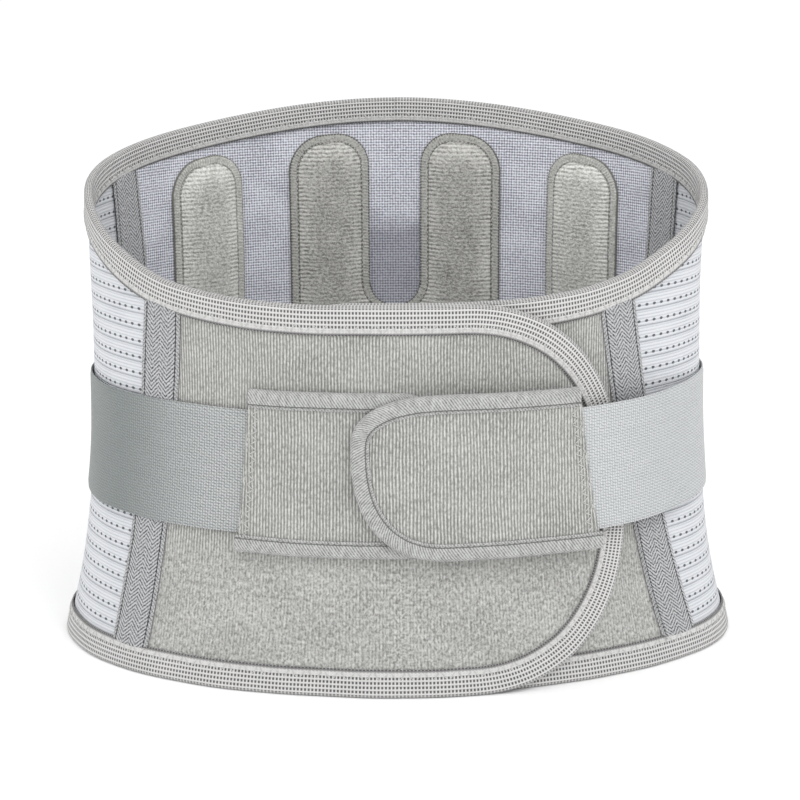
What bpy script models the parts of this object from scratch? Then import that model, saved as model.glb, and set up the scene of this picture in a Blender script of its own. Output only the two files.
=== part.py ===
"""Lumbar support belt with two compression straps, closed as it is worn.

World axes: +Z up, the front of the belt faces -Y, and the origin lies on the surface that the
belt stands on, under the middle of the whole object. Lengths are in metres.

Every piece is laid on the ring of the belt with three belt coordinates:
    run   distance along the waist line from the middle of the front, positive towards +X
    z     height above the surface that the belt stands on
    out   distance outward from the reference surface, which is the face of the outer front panel
"""

import math

import bmesh
import bpy
import numpy as np

# ---- Driving dimensions ------------------------------------------------------------------

# Ring: half width and half depth of the reference surface at the waist, and how much wider and
# deeper it is at the top and at the hips.
WAIST_HALF_WIDTH = 0.1524
WAIST_HALF_DEPTH = 0.1100
TOP_FLARE_WIDTH = 0.0026
TOP_FLARE_DEPTH = 0.0012
HIP_FLARE_WIDTH = 0.0176
HIP_FLARE_DEPTH = 0.0074
WAIST_HEIGHT = 0.165
FLARE_POWER = 2.5
CENTRE_SHIFT = 0.0019

# Heights of the top edge round the belt. The front rises above the straps' wide ends.
FRONT_MARGIN = 0.0405
FRONT_SEAM_RISE = 0.0065
SIDE_HEIGHT = 0.2290
BACK_SEAM_HEIGHT = 0.2480
BACK_HEIGHT = 0.2585

# Seams: distance of the front seams from the front middle, and clearance of the back seam tapes
# from the side pads.
LEFT_SEAM_TOP = 0.118
LEFT_SEAM_BOTTOM = 0.131
RIGHT_SEAM_TOP = 0.113
RIGHT_SEAM_BOTTOM = 0.145
BACK_TAPE_CLEARANCE_TOP = 0.0268
BACK_TAPE_CLEARANCE_BOTTOM = 0.0118

# Front panels: where the rounded free ends start and how far they reach.
OUTER_END_START = 0.030
OUTER_END_REACH = 0.113
INNER_END_START = -0.020
INNER_END_REACH = -0.094
END_ROUNDNESS = 2.15

# Sheet thicknesses and the layers between them.
PANEL_THICKNESS = 0.0026
ELASTIC_THICKNESS = 0.0016
ELASTIC_RECESS = 0.0006
SHELL_THICKNESS = 0.0013
TAPE_THICKNESS = 0.0006
WEBBING_THICKNESS = 0.0012
VELOUR_THICKNESS = 0.0014
HOOK_THICKNESS = 0.0012
LAYER_GAP = 0.0003
WING_CLEARANCE = 0.0011

# Edge binding, seam tape and the hook patch under the outer panel's free end.
BINDING_WIDTH = 0.0140
TAPE_WIDTH = 0.0228
HOOK_PATCH_MARGIN = 0.004
HOOK_PATCH_LEAD = 0.010

# Slopes: how far from the free end, the side line and the straps' ends a layer starts to climb.
WING_RISE_START = 0.012
WING_RISE_STOP = 0.020
LEFT_STRAP_SETTLE = 0.010
RIGHT_STRAP_SETTLE = 0.030
REAR_STRAP_RISE_START = 0.004
REAR_STRAP_RISE_STOP = 0.020

# Compression straps.
STRAP_LOW = 0.0770
STRAP_HIGH = 0.1366
STRAP_END_DROP = 0.0090
STRAP_END_RISE = 0.0104
STRAP_END_ROUNDNESS = 2.4
STRAP_BINDING_WIDTH = 0.0085
STRAP_HOOK_MARGIN = 0.0034
LEFT_END_TOP = -0.0695
LEFT_END_BOTTOM = -0.0755
LEFT_END_ROUND_START = 0.000
LEFT_END_TIP = 0.024
RIGHT_END_TOP = 0.0830
RIGHT_END_BOTTOM = 0.0925
RIGHT_END_ROUND_START = 0.0225
RIGHT_END_TIP = -0.0215
RIGHT_END_TIP_RISE = 0.0145
WEBBING_TUCK = 0.016
ANCHOR_HALF_LENGTH = 0.062
ANCHOR_MARGIN_LOW = 0.0270
ANCHOR_MARGIN_HIGH = 0.0574

# Back pads and stays.
PAD_MARGIN = 0.0065
PAD_CORNER = 0.018
LEG_INNER = 0.0140
LEG_WIDTH = 0.0420
PAD_SPACING = 0.0295
SIDE_PAD_WIDTH = 0.0413
BRIDGE_LOW = 0.112
BRIDGE_HEIGHT = 0.034
PAD_RIM_THICKNESS = 0.0014
PAD_RIM_WIDTH = 0.0045
PAD_COVER_THICKNESS = 0.0022
SIDE_PAD_LOFT = 0.0013
FOAM_THICKNESS = 0.0018
FOAM_CLEARANCE = 0.0004
FOAM_MARGIN = 0.0018
STAY_THICKNESS = 0.0012
STAY_WIDTH = 0.0120
STAY_CLEARANCE = 0.008

# Hinges of the two wings and of the two straps.
WING_HINGE_OFFSET = 0.0031
STRAP_HINGE_OFFSET = 0.0010
HINGE_GAP = 0.0024

# ---- Sizes that follow from the driving dimensions ---------------------------------------

ANGLE_STEP = math.radians(5.0)
SHORTEST_STEP = 0.25
LAST_COLUMN_ANGLE = math.radians(84.0)
ROW_STEP = 0.026

TOP_HALF_WIDTH = WAIST_HALF_WIDTH + TOP_FLARE_WIDTH
TOP_HALF_DEPTH = WAIST_HALF_DEPTH + TOP_FLARE_DEPTH
BOTTOM_HALF_WIDTH = WAIST_HALF_WIDTH + HIP_FLARE_WIDTH
BOTTOM_HALF_DEPTH = WAIST_HALF_DEPTH + HIP_FLARE_DEPTH

BINDING_EDGE = TAPE_THICKNESS + LAYER_GAP
OVER_PANEL = LAYER_GAP + TAPE_THICKNESS
UNDER_PANEL = -(PANEL_THICKNESS + LAYER_GAP)
RIGHT_WING_DROP = PANEL_THICKNESS + LAYER_GAP + HOOK_THICKNESS + WING_CLEARANCE
BACK_LINING_OUT = -(SHELL_THICKNESS + LAYER_GAP)
BACK_INSIDE = BACK_LINING_OUT - SHELL_THICKNESS

STRAP_END_LOW = STRAP_LOW - STRAP_END_DROP
STRAP_END_HIGH = STRAP_HIGH + STRAP_END_RISE
STRAP_END_MIDDLE = (STRAP_END_LOW + STRAP_END_HIGH) / 2
FRONT_HEIGHT = STRAP_END_HIGH + FRONT_MARGIN
FRONT_SEAM_HEIGHT = FRONT_HEIGHT + FRONT_SEAM_RISE
STRAP_CORE = max(WEBBING_THICKNESS, HOOK_THICKNESS)
WEBBING_OUT = OVER_PANEL + LAYER_GAP
RIGHT_HOOK_OUT = (
    WEBBING_OUT + STRAP_CORE + VELOUR_THICKNESS + 2 * TAPE_THICKNESS + 5 * LAYER_GAP
)

LEG_OUTER = LEG_INNER + LEG_WIDTH
SIDE_PAD_INNER = LEG_OUTER + PAD_SPACING
SIDE_PAD_OUTER = SIDE_PAD_INNER + SIDE_PAD_WIDTH
BRIDGE_HIGH = BRIDGE_LOW + BRIDGE_HEIGHT
SIDE_PAD_THICKNESS = PAD_COVER_THICKNESS + LAYER_GAP + STAY_THICKNESS + SIDE_PAD_LOFT
CENTRE_PAD_THICKNESS = (
    PAD_COVER_THICKNESS + 2 * LAYER_GAP + STAY_THICKNESS + FOAM_THICKNESS + FOAM_CLEARANCE
)
BACK_SEAM_TOP = SIDE_PAD_OUTER + BACK_TAPE_CLEARANCE_TOP + TAPE_WIDTH / 2
BACK_SEAM_BOTTOM = SIDE_PAD_OUTER + BACK_TAPE_CLEARANCE_BOTTOM + TAPE_WIDTH / 2


def belt_half_sizes(z):
    """Half width and half depth of the reference surface at height z."""
    up = max(0.0, z - WAIST_HEIGHT) / (BACK_HEIGHT - WAIST_HEIGHT)
    down = max(0.0, WAIST_HEIGHT - z) / WAIST_HEIGHT
    top = up**2
    bottom = down**FLARE_POWER
    width = (
        WAIST_HALF_WIDTH
        + (TOP_HALF_WIDTH - WAIST_HALF_WIDTH) * top
        + (BOTTOM_HALF_WIDTH - WAIST_HALF_WIDTH) * bottom
    )
    depth = (
        WAIST_HALF_DEPTH
        + (TOP_HALF_DEPTH - WAIST_HALF_DEPTH) * top
        + (BOTTOM_HALF_DEPTH - WAIST_HALF_DEPTH) * bottom
    )
    return width, depth


TABLE_ANGLES = np.linspace(0.0, math.pi, 721)
LINE_SPEED = np.hypot(
    WAIST_HALF_WIDTH * np.cos(TABLE_ANGLES), WAIST_HALF_DEPTH * np.sin(TABLE_ANGLES)
)
STEPS_ROUND = (LINE_SPEED[1:] + LINE_SPEED[:-1]) / 2 * np.diff(TABLE_ANGLES)
TABLE_RUNS = np.concatenate([[0.0], np.cumsum(STEPS_ROUND)])
HALF_GIRTH = float(TABLE_RUNS[-1])
SIDE_RUN = HALF_GIRTH / 2


def angle_of_run(run):
    """Angle round the ring, from the front middle, of a distance along the waist line."""
    if run > HALF_GIRTH:
        return 2 * math.pi - angle_of_run(2 * HALF_GIRTH - run)
    return math.copysign(float(np.interp(abs(run), TABLE_RUNS, TABLE_ANGLES)), run)


def run_of_angle(angle):
    """Distance along the waist line of an angle round the ring; angles past the back middle go on."""
    if angle > math.pi:
        return 2 * HALF_GIRTH - run_of_angle(2 * math.pi - angle)
    return math.copysign(float(np.interp(abs(angle), TABLE_ANGLES, TABLE_RUNS)), angle)


def belt_point(run, z, out):
    """World point at the belt coordinates run, z and out."""
    angle = angle_of_run(run)
    width, depth = belt_half_sizes(z)
    across = depth * math.sin(angle)
    along = -width * math.cos(angle)
    length = math.hypot(across, along)
    x = width * math.sin(angle) + out * across / length
    y = -depth * math.cos(angle) + out * along / length
    return x, y + CENTRE_SHIFT, z


def ease(value, start, end):
    """Smooth step from 0 at start to 1 at end."""
    t = min(max((value - start) / (end - start), 0.0), 1.0)
    return t * t * (3 - 2 * t)


def top_edge(run):
    """Height of the belt's top edge at a distance along the waist line."""
    seam = (LEFT_SEAM_TOP + RIGHT_SEAM_TOP) / 2
    shoulder = HALF_GIRTH - BACK_SEAM_TOP * 2 / 3
    runs = [0.0, seam, SIDE_RUN, shoulder, HALF_GIRTH]
    heights = [FRONT_HEIGHT, FRONT_SEAM_HEIGHT, SIDE_HEIGHT, BACK_SEAM_HEIGHT, BACK_HEIGHT]
    slopes = [0.0]
    for i in range(1, len(runs) - 1):
        slopes.append((heights[i + 1] - heights[i - 1]) / (runs[i + 1] - runs[i - 1]))
    slopes.append(0.0)
    far = 2 * HALF_GIRTH - run if run > HALF_GIRTH else abs(run)
    i = min(int(np.searchsorted(runs, far, side="right")) - 1, len(runs) - 2)
    span = runs[i + 1] - runs[i]
    t = (far - runs[i]) / span
    between = heights[i] * (1 + 2 * t) * (1 - t) ** 2 + heights[i + 1] * t * t * (3 - 2 * t)
    return between + span * (slopes[i] * t * (1 - t) ** 2 - slopes[i + 1] * t * t * (1 - t))


def left_seam(z):
    """Run of the seam between the left elastic and the outer front panel."""
    return -(LEFT_SEAM_BOTTOM + (LEFT_SEAM_TOP - LEFT_SEAM_BOTTOM) * z / FRONT_HEIGHT)


def right_seam(z):
    """Run of the seam between the inner front panel and the right elastic."""
    return RIGHT_SEAM_BOTTOM + (RIGHT_SEAM_TOP - RIGHT_SEAM_BOTTOM) * z / FRONT_HEIGHT


def back_seam(z, side):
    """Run of the seam between an elastic and the back panel, on side -1 or +1."""
    inset = BACK_SEAM_BOTTOM + (BACK_SEAM_TOP - BACK_SEAM_BOTTOM) * z / BACK_HEIGHT
    return HALF_GIRTH - inset if side > 0 else HALF_GIRTH + inset


def right_wing_level(run):
    """How far the right wing lies inside the reference surface, under the outer front panel."""
    start = OUTER_END_REACH + WING_RISE_START
    return -RIGHT_WING_DROP * (1 - ease(run, start, SIDE_RUN - WING_RISE_STOP))


def left_strap_level(run):
    """Inner face of the left strap: over the panel and its tape in front, on the elastic at the side."""
    return LAYER_GAP + (WEBBING_OUT - LAYER_GAP) * (
        1 - ease(-run, LEFT_SEAM_BOTTOM + TAPE_WIDTH, SIDE_RUN - LEFT_STRAP_SETTLE)
    )


def right_strap_level(run):
    """Inner face of the right strap: over the left strap's end in front, on the elastic at the side."""
    return LAYER_GAP + (RIGHT_HOOK_OUT - LAYER_GAP) * (
        1 - ease(run, RIGHT_END_TOP, SIDE_RUN - RIGHT_STRAP_SETTLE)
    )


def rear_strap_level(run):
    """Inner face of a strap's rear stretch, between the side and the back."""
    far = 2 * HALF_GIRTH - run if run > HALF_GIRTH else run
    return LAYER_GAP + (WEBBING_OUT - LAYER_GAP) * ease(
        far, SIDE_RUN + REAR_STRAP_RISE_START, SIDE_RUN + REAR_STRAP_RISE_STOP
    )


# ---- Mesh tools --------------------------------------------------------------------------


def columns_between(start, end):
    """Runs from start to end, at the ring's common angle stations in between."""
    first, last = angle_of_run(start), angle_of_run(end)
    inner = [
        run_of_angle(k * ANGLE_STEP)
        for k in range(math.ceil(first / ANGLE_STEP), math.floor(last / ANGLE_STEP) + 1)
        if SHORTEST_STEP < (k * ANGLE_STEP - first) / ANGLE_STEP
        and SHORTEST_STEP < (last - k * ANGLE_STEP) / ANGLE_STEP
    ]
    return [start] + inner + [end]


def rows_between(low, high):
    """Heights from low to high, no further apart than the row step."""
    count = max(1, math.ceil((high - low) / ROW_STEP))
    return [low + (high - low) * i / count for i in range(count + 1)]


def run_between(left, right, share, z):
    """Run at height z, a share of the way from one side edge to the other."""
    return left(z) + share * (right(z) - left(z))


def limit_height(left, right, share, limit):
    """Height at which a slanted column meets a limit that is given by run."""
    z = WAIST_HEIGHT
    for _ in range(8):
        z = limit(run_between(left, right, share, z))
    return z


def band_grid(left, right, low, high, rows=None):
    """Grid of (run, z) between two side edges, given by height, and two limits, given by run."""
    middle = (low(left(WAIST_HEIGHT)) + high(left(WAIST_HEIGHT))) / 2
    runs = columns_between(left(middle), right(middle))
    if rows is None:
        rows = len(rows_between(low(runs[0]), high(runs[-1]))) - 1
    grid = []
    for run in runs:
        share = (run - runs[0]) / (runs[-1] - runs[0])
        bottom = limit_height(left, right, share, low)
        top = limit_height(left, right, share, high)
        heights = [bottom + (top - bottom) * k / rows for k in range(rows + 1)]
        grid.append([(run_between(left, right, share, z), z) for z in heights])
    return grid


def round_end_limits(share, low, high, middle, power):
    """Lower and upper limit of a rounded end, share of the way from its start to its tip."""
    fall = (1 - min(share, 1.0) ** power) ** (1 / power)
    return middle - (middle - low) * fall, middle + (high - middle) * fall


def round_end_grid(start, tip, low, high, middle, power, rows, steps=7):
    """Grid of (run, z) of a rounded free end, from its straight start to its tip."""
    grid = []
    for i in range(steps + 1):
        share = math.sin(LAST_COLUMN_ANGLE * i / steps)
        bottom, top = round_end_limits(share, low, high, middle, power)
        run = start + (tip - start) * share
        grid.append([(run, bottom + (top - bottom) * k / rows) for k in range(rows + 1)])
    return grid if tip > start else grid[::-1]


def round_end_route(start, tip, low, high, middle, power, steps=10):
    """Points (run, z) along a rounded end's edge, from the top start round the tip to the bottom."""
    route = []
    for i in range(2 * steps + 1):
        turn = math.pi * i / (2 * steps)
        share = math.sin(turn)
        bottom, top = round_end_limits(share, low, high, middle, power)
        route.append((start + (tip - start) * share, top if i <= steps else bottom))
    return route


def shaded_material(name, colour, roughness, metallic=0.0):
    """Principled material of one finish."""
    material = bpy.data.materials.new(name)
    material.use_nodes = True
    shader = material.node_tree.nodes["Principled BSDF"]
    shader.inputs["Base Color"].default_value = (*colour, 1.0)
    shader.inputs["Roughness"].default_value = roughness
    shader.inputs["Metallic"].default_value = metallic
    return material


def add_object(name, vertices, faces, finish, hinge=None):
    """Makes one named object from world vertices, with its origin on its hinge's axis."""
    origin = hinge.location if hinge else (0.0, 0.0, 0.0)
    local = [[v[i] - origin[i] for i in range(3)] for v in vertices]
    mesh = bpy.data.meshes.new(name)
    mesh.from_pydata(local, [], faces)
    shape = bmesh.new()
    shape.from_mesh(mesh)
    bmesh.ops.recalc_face_normals(shape, faces=shape.faces)
    shape.to_mesh(mesh)
    shape.free()
    mesh.shade_smooth()
    mesh.set_sharp_from_angle(angle=math.radians(35))
    colour, roughness, metallic = finish
    mesh.materials.append(shaded_material(name, colour, roughness, metallic))
    obj = bpy.data.objects.new(name, mesh)
    bpy.context.scene.collection.objects.link(obj)
    obj.parent = hinge
    return obj


def sheet(name, grids, inner, outer, finish, hinge=None):
    """Closed sheet over one or more joined grids, between the levels inner(run, z) and outer(run, z)."""
    index, places, cells = {}, [], []
    for grid in grids:
        for column in grid:
            for run, z in column:
                key = (round(run, 6), round(z, 6))
                if key not in index:
                    index[key] = len(places)
                    places.append((run, z))
        for a, b in zip(grid[:-1], grid[1:]):
            for k in range(len(a) - 1):
                corners = (a[k], b[k], b[k + 1], a[k + 1])
                cells.append([index[(round(run, 6), round(z, 6))] for run, z in corners])
    count = len(places)
    vertices = [belt_point(run, z, outer(run, z)) for run, z in places]
    vertices += [belt_point(run, z, inner(run, z)) for run, z in places]
    faces = [list(cell) for cell in cells]
    faces += [[i + count for i in reversed(cell)] for cell in cells]
    edges = {(cell[k], cell[(k + 1) % 4]) for cell in cells for k in range(4)}
    for a, b in sorted(edges):
        if (b, a) not in edges:
            faces.append([b, a, a + count, b + count])
    return add_object(name, vertices, faces, finish, hinge)


def flat_levels(inner, thickness, level=lambda run: 0.0):
    """Pair of level functions for a sheet of even thickness on a moving base level."""
    return (
        lambda run, z: level(run) + inner,
        lambda run, z: level(run) + inner + thickness,
    )


def folded_binding(name, route, width, over, under, finish, hinge=None, level=lambda run: 0.0):
    """Tape folded over an edge: a U profile swept along the edge's route of (run, z) points.

    over and under are the levels of the fold's inner faces, and the route runs with the panel on
    its right-hand side as seen from outside.
    """
    tape = TAPE_THICKNESS
    profile = [
        (0.0, over + tape),
        (width, over + tape),
        (width, over),
        (tape, over),
        (tape, under),
        (width, under),
        (width, under - tape),
        (0.0, under - tape),
    ]
    vertices, faces = [], []
    for i, (run, z) in enumerate(route):
        before = route[max(i - 1, 0)]
        after = route[min(i + 1, len(route) - 1)]
        step = (after[0] - before[0], after[1] - before[1])
        length = math.hypot(*step)
        inward = (step[1] / length, -step[0] / length)
        for depth, out in profile:
            vertices.append(
                belt_point(run + inward[0] * depth, z + inward[1] * depth, level(run) + out)
            )
    size = len(profile)
    for i in range(len(route) - 1):
        for k in range(size):
            a, b = i * size + k, i * size + (k + 1) % size
            faces.append([a, b, b + size, a + size])
    for start in (0, (len(route) - 1) * size):
        faces.append([start, start + 1, start + 2, start + 3])
        faces.append([start, start + 3, start + 4, start + 7])
        faces.append([start + 4, start + 5, start + 6, start + 7])
    return add_object(name, vertices, faces, finish, hinge)


def hinge_axis(name, x):
    """Empty on a vertical hinge axis at the side of the belt."""
    axis = bpy.data.objects.new(name, None)
    axis.location = (x, CENTRE_SHIFT, 0.0)
    bpy.context.scene.collection.objects.link(axis)
    return axis


# ---- Finishes: base colour, roughness, metallic ------------------------------------------

LOOP_FABRIC = ((0.45, 0.45, 0.44), 0.95, 0.0)
ELASTIC_FABRIC = ((0.66, 0.67, 0.69), 0.85, 0.0)
TAPE_FABRIC = ((0.38, 0.38, 0.39), 0.85, 0.0)
BINDING_FABRIC = ((0.52, 0.51, 0.51), 0.85, 0.0)
SHELL_FABRIC = ((0.44, 0.45, 0.46), 0.90, 0.0)
LINING_FABRIC = ((0.41, 0.42, 0.47), 0.90, 0.0)
PAD_FABRIC = ((0.38, 0.38, 0.37), 0.95, 0.0)
WEBBING_FABRIC = ((0.42, 0.45, 0.45), 0.85, 0.0)
HOOK_NYLON = ((0.50, 0.50, 0.49), 0.60, 0.0)
FOAM = ((0.70, 0.69, 0.62), 0.90, 0.0)
SPRING_STEEL = ((0.60, 0.60, 0.62), 0.35, 1.0)


# ---- Belt body ---------------------------------------------------------------------------


def panel_low(run):
    """Lower limit of what the bottom binding holds."""
    return BINDING_EDGE


def panel_high(run):
    """Upper limit of what the top binding holds."""
    return top_edge(run) - BINDING_EDGE


def tape_low(run):
    """Lower end of the seam tapes, above the bottom binding."""
    return BINDING_WIDTH + LAYER_GAP


def tape_high(run):
    """Upper end of the seam tapes, below the top binding."""
    return top_edge(run) - BINDING_WIDTH - 3 * LAYER_GAP


def side_elastic(name, left, right, hinge=None, level=lambda run: 0.0):
    """One stretch of a side elastic between two edges."""
    inner, outer = flat_levels(-ELASTIC_RECESS - ELASTIC_THICKNESS, ELASTIC_THICKNESS, level)
    grid = band_grid(left, right, panel_low, panel_high)
    sheet(name, [grid], inner, outer, ELASTIC_FABRIC, hinge)


def seam_tape(name, seam, inner_face, hinge=None, level=lambda run: 0.0):
    """Tape along a seam, centred on it."""
    grid = band_grid(
        lambda z: seam(z) - TAPE_WIDTH / 2, lambda z: seam(z) + TAPE_WIDTH / 2, tape_low, tape_high
    )
    inner, outer = flat_levels(inner_face, TAPE_THICKNESS, level)
    sheet(name, [grid], inner, outer, TAPE_FABRIC, hinge)


def build_back():
    """Back panel with its lining, side elastics to the hinges, seam tapes and bindings."""
    gap = LAYER_GAP / 2

    def left_edge(z):
        return back_seam(z, +1) + gap

    def right_edge(z):
        return back_seam(z, -1) - gap

    grid = band_grid(left_edge, right_edge, panel_low, panel_high)
    inner, outer = flat_levels(-SHELL_THICKNESS, SHELL_THICKNESS)
    sheet("back_shell", [grid], inner, outer, SHELL_FABRIC)
    inner, outer = flat_levels(BACK_INSIDE, SHELL_THICKNESS)
    sheet("back_lining", [grid], inner, outer, LINING_FABRIC)

    start = SIDE_RUN + HINGE_GAP / 2
    stop = 2 * HALF_GIRTH - start
    side_elastic("side_elastic_right_rear", lambda z: start, lambda z: back_seam(z, +1) - gap)
    side_elastic("side_elastic_left_rear", lambda z: back_seam(z, -1) + gap, lambda z: stop)
    for side, word in ((+1, "right"), (-1, "left")):
        seam_tape(f"back_seam_tape_{word}_outer", lambda z: back_seam(z, side), LAYER_GAP)
        inside = BACK_INSIDE - LAYER_GAP - TAPE_THICKNESS
        seam_tape(f"back_seam_tape_{word}_inner", lambda z: back_seam(z, side), inside)

    runs = columns_between(start, stop)
    under = BACK_INSIDE - LAYER_GAP
    top = [(run, top_edge(run)) for run in runs]
    folded_binding("back_binding_top", top, BINDING_WIDTH, LAYER_GAP, under, BINDING_FABRIC)
    bottom = [(run, 0.0) for run in reversed(runs)]
    folded_binding("back_binding_bottom", bottom, BINDING_WIDTH, LAYER_GAP, under, BINDING_FABRIC)


def panel_grids(seam_edge, end_start, end_reach, inset):
    """Joined grids of a front panel: the straight stretch and the rounded free end."""
    high = top_edge(end_start)
    rows = len(rows_between(0.0, high)) - 1
    low_limit, high_limit = inset, high - inset
    tip = end_reach - math.copysign(inset, end_reach)

    def low(run):
        return inset

    def upper(run):
        return top_edge(run) - inset

    def start(z):
        return end_start

    if end_reach > 0:
        straight = band_grid(seam_edge, start, low, upper, rows)
    else:
        straight = band_grid(start, seam_edge, low, upper, rows)
    rounded = round_end_grid(
        end_start, tip, low_limit, high_limit, high / 2, END_ROUNDNESS, rows
    )
    return [straight, rounded]


def panel_route(hinge_run, end_start, end_reach):
    """Edge of a wing from its hinge along the top, round the free end and back along the bottom."""
    high = top_edge(end_start)
    if end_reach > 0:
        straight = columns_between(hinge_run, end_start)
    else:
        straight = columns_between(end_start, hinge_run)[::-1]
    rounded = round_end_route(end_start, end_reach, 0.0, high, high / 2, END_ROUNDNESS)
    route = [(run, top_edge(run)) for run in straight[:-1]]
    route += rounded
    route += [(run, 0.0) for run in reversed(straight[:-1])]
    return route if end_reach > 0 else route[::-1]


def build_left_wing(hinge):
    """Outer front panel with its rounded end, the left elastic's front stretch and their trim."""
    gap = LAYER_GAP / 2
    grids = panel_grids(
        lambda z: left_seam(z) + gap, OUTER_END_START, OUTER_END_REACH, BINDING_EDGE
    )
    inner, outer = flat_levels(-PANEL_THICKNESS, PANEL_THICKNESS)
    sheet("front_panel_outer", grids, inner, outer, LOOP_FABRIC, hinge)
    edge = -SIDE_RUN + HINGE_GAP / 2
    side_elastic("side_elastic_left_front", lambda z: edge, lambda z: left_seam(z) - gap, hinge)
    seam_tape("front_seam_tape_left_outer", left_seam, LAYER_GAP, hinge)
    inside = UNDER_PANEL - TAPE_THICKNESS
    seam_tape("front_seam_tape_left_inner", left_seam, inside, hinge)
    route = panel_route(edge, OUTER_END_START, OUTER_END_REACH)
    folded_binding(
        "left_wing_binding", route, BINDING_WIDTH, LAYER_GAP, UNDER_PANEL, BINDING_FABRIC, hinge
    )
    margin = BINDING_WIDTH + HOOK_PATCH_MARGIN
    high = top_edge(OUTER_END_START)
    rows = 5
    straight = band_grid(
        lambda z: OUTER_END_START - HOOK_PATCH_LEAD,
        lambda z: OUTER_END_START,
        lambda run: margin,
        lambda run: high - margin,
        rows,
    )
    rounded = round_end_grid(
        OUTER_END_START,
        OUTER_END_REACH - margin,
        margin,
        high - margin,
        high / 2,
        END_ROUNDNESS,
        rows,
        5,
    )
    inner, outer = flat_levels(UNDER_PANEL - HOOK_THICKNESS, HOOK_THICKNESS)
    sheet("front_panel_hook_patch", [straight, rounded], inner, outer, HOOK_NYLON, hinge)


def build_right_wing(hinge):
    """Inner front panel with its rounded end, the right elastic's front stretch and their trim."""
    gap = LAYER_GAP / 2
    grids = panel_grids(
        lambda z: right_seam(z) - gap, INNER_END_START, INNER_END_REACH, BINDING_EDGE
    )
    inner, outer = flat_levels(-PANEL_THICKNESS, PANEL_THICKNESS, right_wing_level)
    sheet("front_panel_inner", grids, inner, outer, LOOP_FABRIC, hinge)
    edge = SIDE_RUN - HINGE_GAP / 2
    side_elastic(
        "side_elastic_right_front",
        lambda z: right_seam(z) + gap,
        lambda z: edge,
        hinge,
        right_wing_level,
    )
    seam_tape("front_seam_tape_right_outer", right_seam, LAYER_GAP, hinge, right_wing_level)
    inside = UNDER_PANEL - TAPE_THICKNESS
    seam_tape("front_seam_tape_right_inner", right_seam, inside, hinge, right_wing_level)
    route = panel_route(edge, INNER_END_START, INNER_END_REACH)
    folded_binding(
        "right_wing_binding",
        route,
        BINDING_WIDTH,
        LAYER_GAP,
        UNDER_PANEL,
        BINDING_FABRIC,
        hinge,
        right_wing_level,
    )


# ---- Pads, foam and stays ----------------------------------------------------------------


def pad_high(run):
    """Upper end of the pads, below the back's top binding."""
    return top_edge(run) - BINDING_WIDTH - PAD_MARGIN


def pad_low():
    """Lower end of the pads, above the bottom binding."""
    return BINDING_WIDTH + PAD_MARGIN


def corner_inset(distance, radius):
    """How far a rounded corner pulls an edge in, at a distance from the pad's side."""
    if distance >= radius:
        return 0.0
    return radius - math.sqrt(max(radius**2 - (radius - distance) ** 2, 0.0))


def corner_depth(across, along):
    """Distance from the pad's outline, from the distances to its side and to its end."""
    if across >= PAD_CORNER or along >= PAD_CORNER:
        return min(across, along)
    return PAD_CORNER - math.hypot(PAD_CORNER - across, PAD_CORNER - along)


def pad_stops(inner, outer, rim):
    """Distances from the back middle across a pad leg, closer together at its rounded corners."""
    marks = sorted([0.0, PAD_CORNER / 15, rim, PAD_CORNER / 2, PAD_CORNER * 4 / 5])
    half = [(inner + outer) / 2]
    return [inner + m for m in marks] + half + [outer - m for m in reversed(marks)]


def pad_leg_heights(distance, inner, outer, inset):
    """Rows of one pad column: rim rows at both ends, and the bridge's own limits between them."""
    run = HALF_GIRTH - distance
    rim = PAD_RIM_WIDTH
    across = min(distance - inner, outer - distance)
    edge = inset + corner_inset(across - inset, PAD_CORNER - inset)
    inside = rim + corner_inset(max(across - rim, 0.0), PAD_CORNER - rim)
    inside = max(inside, edge + rim / 2)
    high, inner_high = pad_high(run) - edge, pad_high(run) - inside
    low, inner_low = pad_low() + edge, pad_low() + inside
    bridge_low = BRIDGE_LOW - LEG_INNER
    bridge_high = BRIDGE_HIGH + LEG_INNER
    rows = [low, inner_low]
    rows += [inner_low + (bridge_low - inner_low) * k / 3 for k in (1, 2)]
    rows += [bridge_low + (bridge_high - bridge_low) * k / 4 for k in range(5)]
    rows += [bridge_high + (inner_high - bridge_high) * k / 3 for k in (1, 2)]
    return rows + [inner_high, high]


def leg_grid(side, inner, outer, inset):
    """Grid of one pad leg on side -1 or +1 of the back middle."""
    stops = pad_stops(inner, outer, PAD_RIM_WIDTH)
    if inset > 0:
        stops = [s for s in stops if inner + inset < s < outer - inset]
        stops = [inner + inset] + stops + [outer - inset]
    grid = []
    for distance in stops:
        rows = pad_leg_heights(distance, inner, outer, inset)
        grid.append([(HALF_GIRTH - side * distance, z) for z in rows])
    return grid[::-1] if side > 0 else grid


def bridge_grid():
    """Grid of the bridge between the two legs, with the round notches above and below it."""
    grid = []
    for k in range(7):
        x = LEG_INNER * (k / 3 - 1)
        dip = math.sqrt(max(LEG_INNER**2 - x**2, 0.0))
        low, high = BRIDGE_LOW - LEG_INNER + dip, BRIDGE_HIGH + LEG_INNER - dip
        grid.append([(HALF_GIRTH + x, low + (high - low) * j / 4) for j in range(5)])
    return grid


def side_pad_depth(run, z):
    """Distance of a side pad's point from the pad's edge."""
    distance = abs(run - HALF_GIRTH)
    across = min(distance - SIDE_PAD_INNER, SIDE_PAD_OUTER - distance)
    return corner_depth(across, min(pad_high(HALF_GIRTH - distance) - z, z - pad_low()))


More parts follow.
